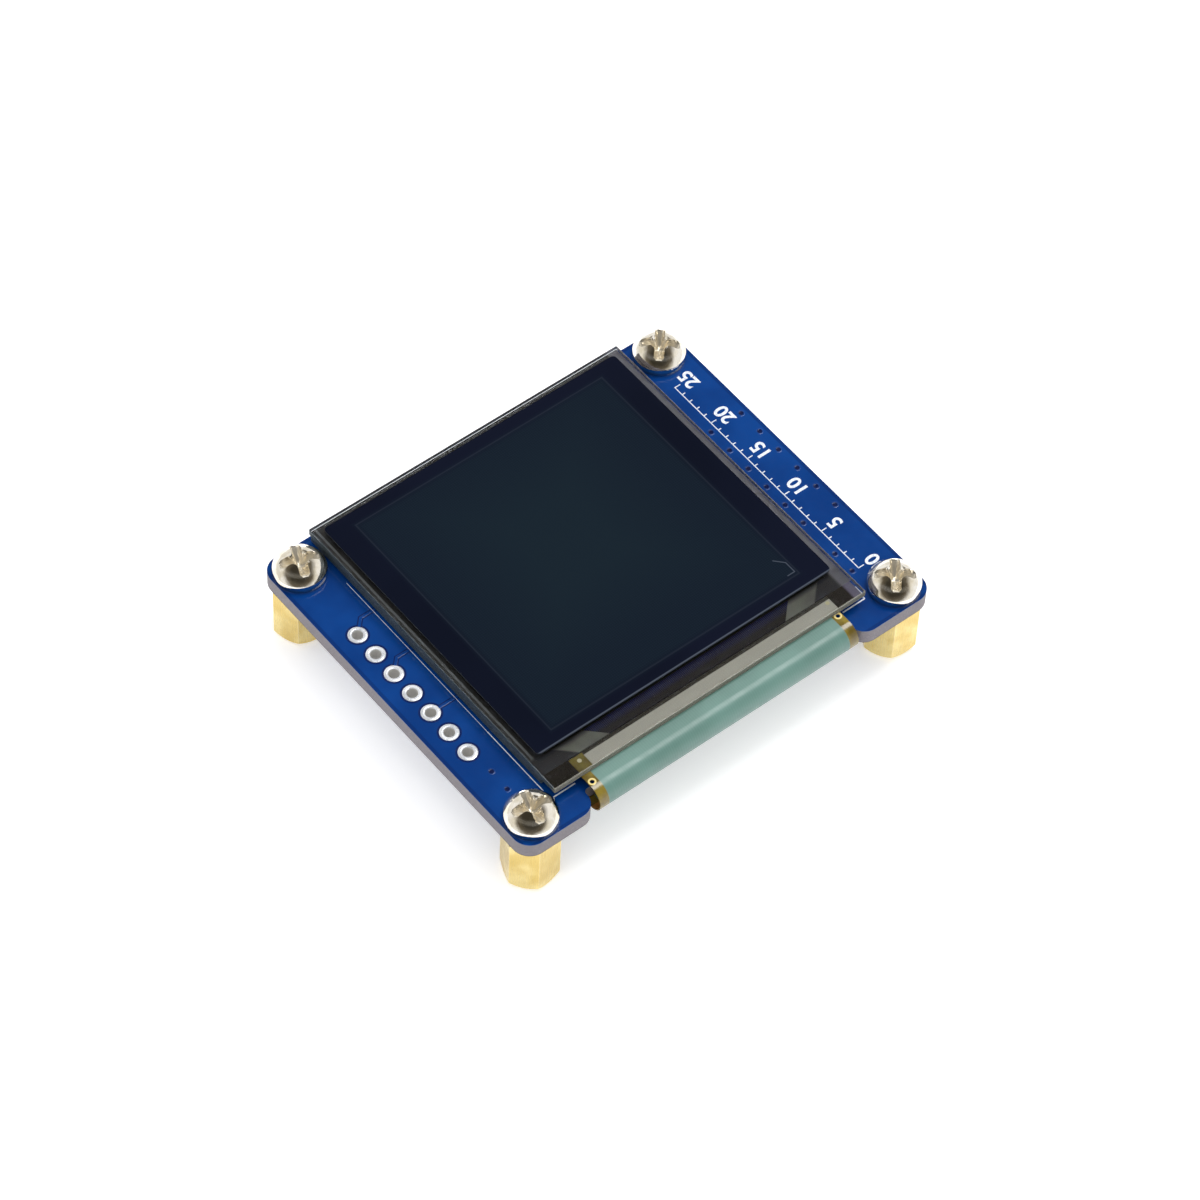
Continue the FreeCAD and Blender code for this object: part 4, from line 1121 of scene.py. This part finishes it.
CROSS_TURNS = {"front_left": 78.9, "front_right": 52, "back_left": 71, "back_right": 49}
HEAD_RADIUS, HEAD_SHOULDER = 2.39, 0.4
CROWN_RADIUS = 2.7
CROSS_TIP, CROSS_WING, CROSS_WEB = 1.76, 0.44, 0.84
CROSS_DEPTH, CROSS_FLOOR = 1.4, 0.35
SHANK_RADIUS = 1.2


def cross_outline(turn):
    """Angles and radii of a cross in plan: four wings with square tips, whose inner corners a web cuts off.

    Within an eighth of a turn from a wing's middle line, the radius is the wing's tip or its side,
    whichever is nearer, and not less than the web's. The angles come closer together where the outline
    bends.
    """
    eighth = np.radians([0, 8, 15.86, 19, 23, 28, 36.0, 39, 42])
    local = np.concatenate([-np.radians([45]), -eighth[:0:-1], eighth])
    off = np.abs(local)
    side = CROSS_WING / np.maximum(np.sin(off), 1e-6)
    radius = np.maximum(np.minimum(CROSS_TIP / np.cos(off), side), CROSS_WEB / np.cos(np.radians(45) - off))
    angle = np.concatenate([local + quarter * np.pi / 2 for quarter in range(4)]) + np.radians(turn)
    return angle, np.tile(radius, 4)


def screws():
    """Pan head screws: a domed head with a cross recess, over a plain shank.

    Every row of the grid goes once round the screw at the same angles. The recess's rows are the cross's
    outline, drawn in evenly towards the floor. The crown's rows spread from the outline to the head's
    circle and lie on a sphere, and the rows below them are circles.
    """
    for name in CORNERS:
        low, high = millimetres(f"screw_{name}")
        angle, mouth = cross_outline(CROSS_TURNS[name])
        apex = high[2] - TOP - 0.004 + CROWN_RADIUS - math.sqrt(CROWN_RADIUS ** 2 - CROSS_WEB ** 2)
        centre = apex - CROWN_RADIUS
        reach = CROWN_RADIUS - HEAD_SHOULDER
        bend_x = HEAD_RADIUS - HEAD_SHOULDER
        bend_z = centre + math.sqrt(reach ** 2 - bend_x ** 2)
        crown_edge = bend_x * CROWN_RADIUS / reach

        def crown(radius):
            return centre + np.sqrt(CROWN_RADIUS ** 2 - radius ** 2)

        floor_z = apex - CROSS_DEPTH
        rows = [(mouth * 0, floor_z - 0.14), (mouth * CROSS_FLOOR * 0.95, floor_z),
                (mouth * CROSS_FLOOR, floor_z + 0.03)]
        for share in (0.3, 0.62, 0.97):
            radius = mouth * (CROSS_FLOOR + (1 - CROSS_FLOOR) * share)
            rows.append((radius, floor_z + 0.03 + (crown(mouth) - floor_z - 0.05) * share))
        lip = mouth + 0.035
        for share in (0, 0.15, 0.32, 0.5, 0.68, 0.84, 1):
            radius = lip + (crown_edge - lip) * share
            rows.append((radius, crown(radius)))
        lean = math.acos(bend_x / reach)
        for turn in np.linspace(lean, 0, 6)[1:]:
            rows.append((bend_x + HEAD_SHOULDER * math.cos(turn), bend_z + HEAD_SHOULDER * math.sin(turn)))
        tip = low[2] - TOP
        rows += [(HEAD_RADIUS, 0.08), (HEAD_RADIUS - 0.06, 0.0), (SHANK_RADIUS + 0.12, 0.0),
                 (SHANK_RADIUS, -0.12), (SHANK_RADIUS, tip + 0.25), (SHANK_RADIUS - 0.25, tip), (0, tip)]
        radius = np.array([np.broadcast_to(r, angle.shape) for r, z in rows])
        z = np.array([np.broadcast_to(z, angle.shape) for r, z in rows])
        points = np.stack([radius * np.cos(angle), radius * np.sin(angle), z + TOP], axis=-1)
        points += np.array([*SCREWS[name][:2], 0])
        shape = grid(points, wrap_columns=True)
        piece(f"screw_{name}_head", shape, NICKEL, replaced=[f"screw_{name}"])


screws()


# Standoffs

def threads():
    """The thread in each standoff's free end: a ridge carried up a helix.

    Along the helix the angle grows by a full turn for each pitch of height, and the section is a low
    triangle that points inwards from the bore.
    """
    bore, pitch, turns, depth = 1.05, 0.45, 6.2, 0.1
    angle = np.linspace(0, 2 * np.pi * turns, int(turns * 36))
    section = np.array([(0.01, -0.2), (-depth, -0.03), (-depth, 0.03), (0.01, 0.2)])
    fade = np.clip(np.minimum(angle, angle[-1] - angle) / 2, 0, 1)[:, None]
    for name in CORNERS:
        radius = bore + section[None, :, 0] * fade
        z = 0.25 + angle[:, None] * pitch / (2 * np.pi) + section[None, :, 1] * fade
        x = SCREWS[name][0] + radius * np.cos(angle)[:, None]
        y = SCREWS[name][1] + radius * np.sin(angle)[:, None]
        piece(f"thread_{name}", grid(np.stack([x, y, z], axis=-1), wrap_columns=True), BRASS)


threads()


# Underside

def mound(low, high, base_z, rise, steps=10):
    """A low mound over a rectangle: its height is the square root of a product of two arches.

    The points are u, v from -1 to 1, and the height is rise times sqrt((1 - u^4)(1 - v^4)). rise may be
    negative.
    """
    u, v = np.meshgrid(np.linspace(-1, 1, steps), np.linspace(-1, 1, steps), indexing="ij")
    x = (low[0] + high[0]) / 2 + u * (high[0] - low[0]) / 2
    y = (low[1] + high[1]) / 2 + v * (high[1] - low[1]) / 2
    arch = rise * np.sqrt(np.clip((1 - u ** 4) * (1 - v ** 4), 0, 1))
    upper = np.stack([x, y, base_z + arch], axis=-1)
    lower = np.stack([x, y, np.full_like(x, base_z) - rise * 0.05], axis=-1)
    return grid(np.concatenate([upper, lower[::-1]]), wrap_rows=True)


def wedge(corner, outward, along, reach, width, height, steps=9):
    """Solder that climbs a metal end: a concave curve from the pad up the face.

    The curve is a quarter of an ellipse that bows towards the corner, carried along the width and drawn
    in towards both of its ends.
    """
    turn = np.linspace(0, np.pi / 2, 7)
    curve = np.stack([reach * (1 - np.sin(turn)), height * (1 - np.cos(turn))], axis=-1)
    loop = np.concatenate([curve, [(-0.03, height), (-0.03, -0.01)], [(reach, -0.01)]])
    share = np.linspace(-1, 1, steps)
    size = np.sqrt(np.clip(1 - 0.35 * share ** 4, 0, 1))
    size[[0, -1]] = 0
    places = share.copy()
    places[[0, -1]] = share[[1, -2]]
    outward, along = np.array(outward, float), np.array(along, float)
    out_part = loop[None, :, 0, None] * outward * size[:, None, None]
    down_part = loop[None, :, 1, None] * np.array([0, 0, -1.0]) * size[:, None, None]
    side_part = (places[:, None, None] * along * width / 2) * np.ones((1, len(loop), 1))
    return grid(np.array(corner, float) + out_part + down_part + side_part, wrap_columns=True)


def tail_fingers():
    """Tinned fingers at the end of the film's tail, one under each joint."""
    count, pitch = 24, 0.65
    shapes = []
    for number in range(count):
        x = PANEL_X + (number - (count - 1) / 2) * pitch
        low, high = (x - 0.17, JOINTS_LOW[1] - 0.1), (x + 0.17, JOINTS_HIGH[1] + 0.35)
        shapes.append(mound(low, high, FILM_LOW[2], -0.045))
    piece("tail_fingers", joined(shapes), TIN)


WEDGE_REACH = 0.36


def chip_solder():
    """Solder fillets at both ends of each chip."""
    shapes = []
    for name in CAPACITORS + RESISTORS:
        low, high = millimetres(name)
        middle = (low + high) / 2
        axis = 0 if high[0] - low[0] > high[1] - low[1] else 1
        width = (high - low)[1 - axis]
        height = min(0.45, (high[2] - low[2]) * 0.75)
        for sign in (-1, 1):
            corner = np.array([middle[0], middle[1], UNDERSIDE])
            corner[axis] = (high if sign > 0 else low)[axis]
            outward, along = np.zeros(3), np.zeros(3)
            outward[axis], along[1 - axis] = sign, 1
            shapes.append(wedge(corner, outward, along, WEDGE_REACH, width * 1.05, height))
    piece("chip_solder", joined(shapes), TIN)


def lead_solder():
    """Solder fillets at the toe of each package lead."""
    pitch, lead = 0.95, 0.4
    shapes = []
    for name, count in (("regulator", 3), ("converter", 3), ("diode", 1)):
        low, high = millimetres(f"{name}_leads")
        for number in range(count):
            x = (low[0] + high[0]) / 2 + (number - (count - 1) / 2) * pitch
            for y, sign in ((low[1], -1), (high[1], 1)):
                shapes.append(wedge((x, y, UNDERSIDE), (0, sign, 0), (1, 0, 0), 0.3, lead * 1.5, 0.16))
    piece("lead_solder", joined(shapes), TIN)


def driver_resin():
    """Bead of black resin round the driver chip: a concave skirt carried round its outline."""
    turn = np.linspace(0, np.pi / 2, 6)
    reach, height = 0.4, 0.3
    rows = []
    for t in turn:
        out = reach * (1 - math.sin(t))
        plan = rounded_rectangle(DRIVER_LOW[:2] - out - 0.005, DRIVER_HIGH[:2] + out + 0.005, out + 0.03)
        rows.append(at_height(plan, FILM_LOW[2] - height * (1 - math.cos(t))))
    inner = rounded_rectangle(DRIVER_LOW[:2] + 0.02, DRIVER_HIGH[:2] - 0.02, 0.02)
    outer = rounded_rectangle(DRIVER_LOW[:2] - reach, DRIVER_HIGH[:2] + reach, reach + 0.03)
    rows += [at_height(inner, FILM_LOW[2] - height), at_height(inner, FILM_LOW[2] + 0.01),
             at_height(outer, FILM_LOW[2] + 0.01)]
    piece("driver_resin", grid(np.array(rows), wrap_rows=True, wrap_columns=True), BLACK_RESIN)


def under_ink():
    """Printed outlines round the packages, the inductor and the chips on the underside."""
    margin, line = 0.5, 0.12
    shapes = []
    for name in [*CAPACITORS, *RESISTORS, "regulator_leads", "converter_leads", "diode_leads",
                 "inductor_shield"]:
        low, high = millimetres(name)
        outline = rounded_rectangle(low[:2] - margin, high[:2] + margin, 0.12, 2)
        shapes.append(stroke(outline, line, UNDERSIDE + 0.002, UNDERSIDE - INK_TOP, closed=True))
    piece("underside_lines", joined(shapes), INK, smooth=False)


tail_fingers()
chip_solder()
lead_solder()
driver_resin()
under_ink()


# Stage and light

FLOOR_HALF = 3.0
# Direction towards the camera in plan, and the dome's colour as mirrors see it, from the horizon to overhead.
CAMERA_SIDE = (-0.657, -0.754, 0)
RAMP = {0: (1, 1, 1, 1), 0.5: (0.95, 0.93, 0.88, 1), 0.76: (0.14, 0.12, 0.09, 1), 1: (0.045, 0.04, 0.03, 1)}


def floor():
    """A wide flat floor under the standoffs."""
    side = np.linspace(-FLOOR_HALF, FLOOR_HALF, 9) / MM
    x, y = np.meshgrid(side, side, indexing="ij")
    points, faces = grid(np.stack([x, y, np.zeros_like(x)], axis=-1))
    mesh = bpy.data.meshes.new("floor")
    mesh.from_pydata((points * MM).tolist(), [], faces[:, ::-1].tolist())
    mesh.materials.append(PAPER)
    linked("floor", mesh)


def world():
    """An even white dome for matt surfaces.

    Mirrors see it white low down, and dim overhead and on the camera's side. What is seen straight is
    white. A ray through glass counts as mirrored too, and meets a brighter dome, since no other light
    reaches what lies under the glass.
    """
    made = bpy.data.worlds.new("dome")
    made.use_nodes = True
    start(made.node_tree)
    direction = add("ShaderNodeTexCoord", output="Generated")
    nearer = maths("MAXIMUM", vector_maths("DOT_PRODUCT", direction, CAMERA_SIDE, output="Value"), 0.0) * 0.6
    ramp = node("ShaderNodeValToRGB", {0: parts_of(direction)[2] + nearer})
    stops = ramp.color_ramp.elements
    # A new ramp has its stops at 0 and 1.
    for stop in stops:
        stop.color = RAMP[round(stop.position)]
    for position in (0.5, 0.76):
        stops.new(position).color = RAMP[position]
    colour = blend(ray("Glossy"), (0.74, 0.74, 0.74, 1), Value(ramp.outputs[0]))
    colour = blend(ray("Camera"), colour, (1, 1, 1, 1))
    strength = 1.0 + ray("Transmission") * 1.4
    dome = add("ShaderNodeBackground", {"Color": colour, "Strength": strength})
    node("ShaderNodeOutputWorld", {"Surface": dome})
    bpy.context.scene.world = made


def lamp(name, place, size, power, mirrored=True):
    """A square soft lamp at a place in metres, aimed at the origin. Mirrors may be kept from showing it."""
    data = bpy.data.lights.new(name, "AREA")
    data.size = size
    data.energy = power
    made = linked(name, data)
    made.location = place
    made.rotation_mode = "QUATERNION"
    made.rotation_quaternion = (-Vector(place)).to_track_quat("-Z", "Y")
    made.visible_glossy = mirrored


floor()
world()
lamp("overhead", (-0.1, 0.0, 0.9), 0.8, 2.0, mirrored=False)
lamp("sheen", (0.39, 0.07, 0.915), 0.4, 3.6)
bpy.context.scene.view_settings.view_transform = "Standard"
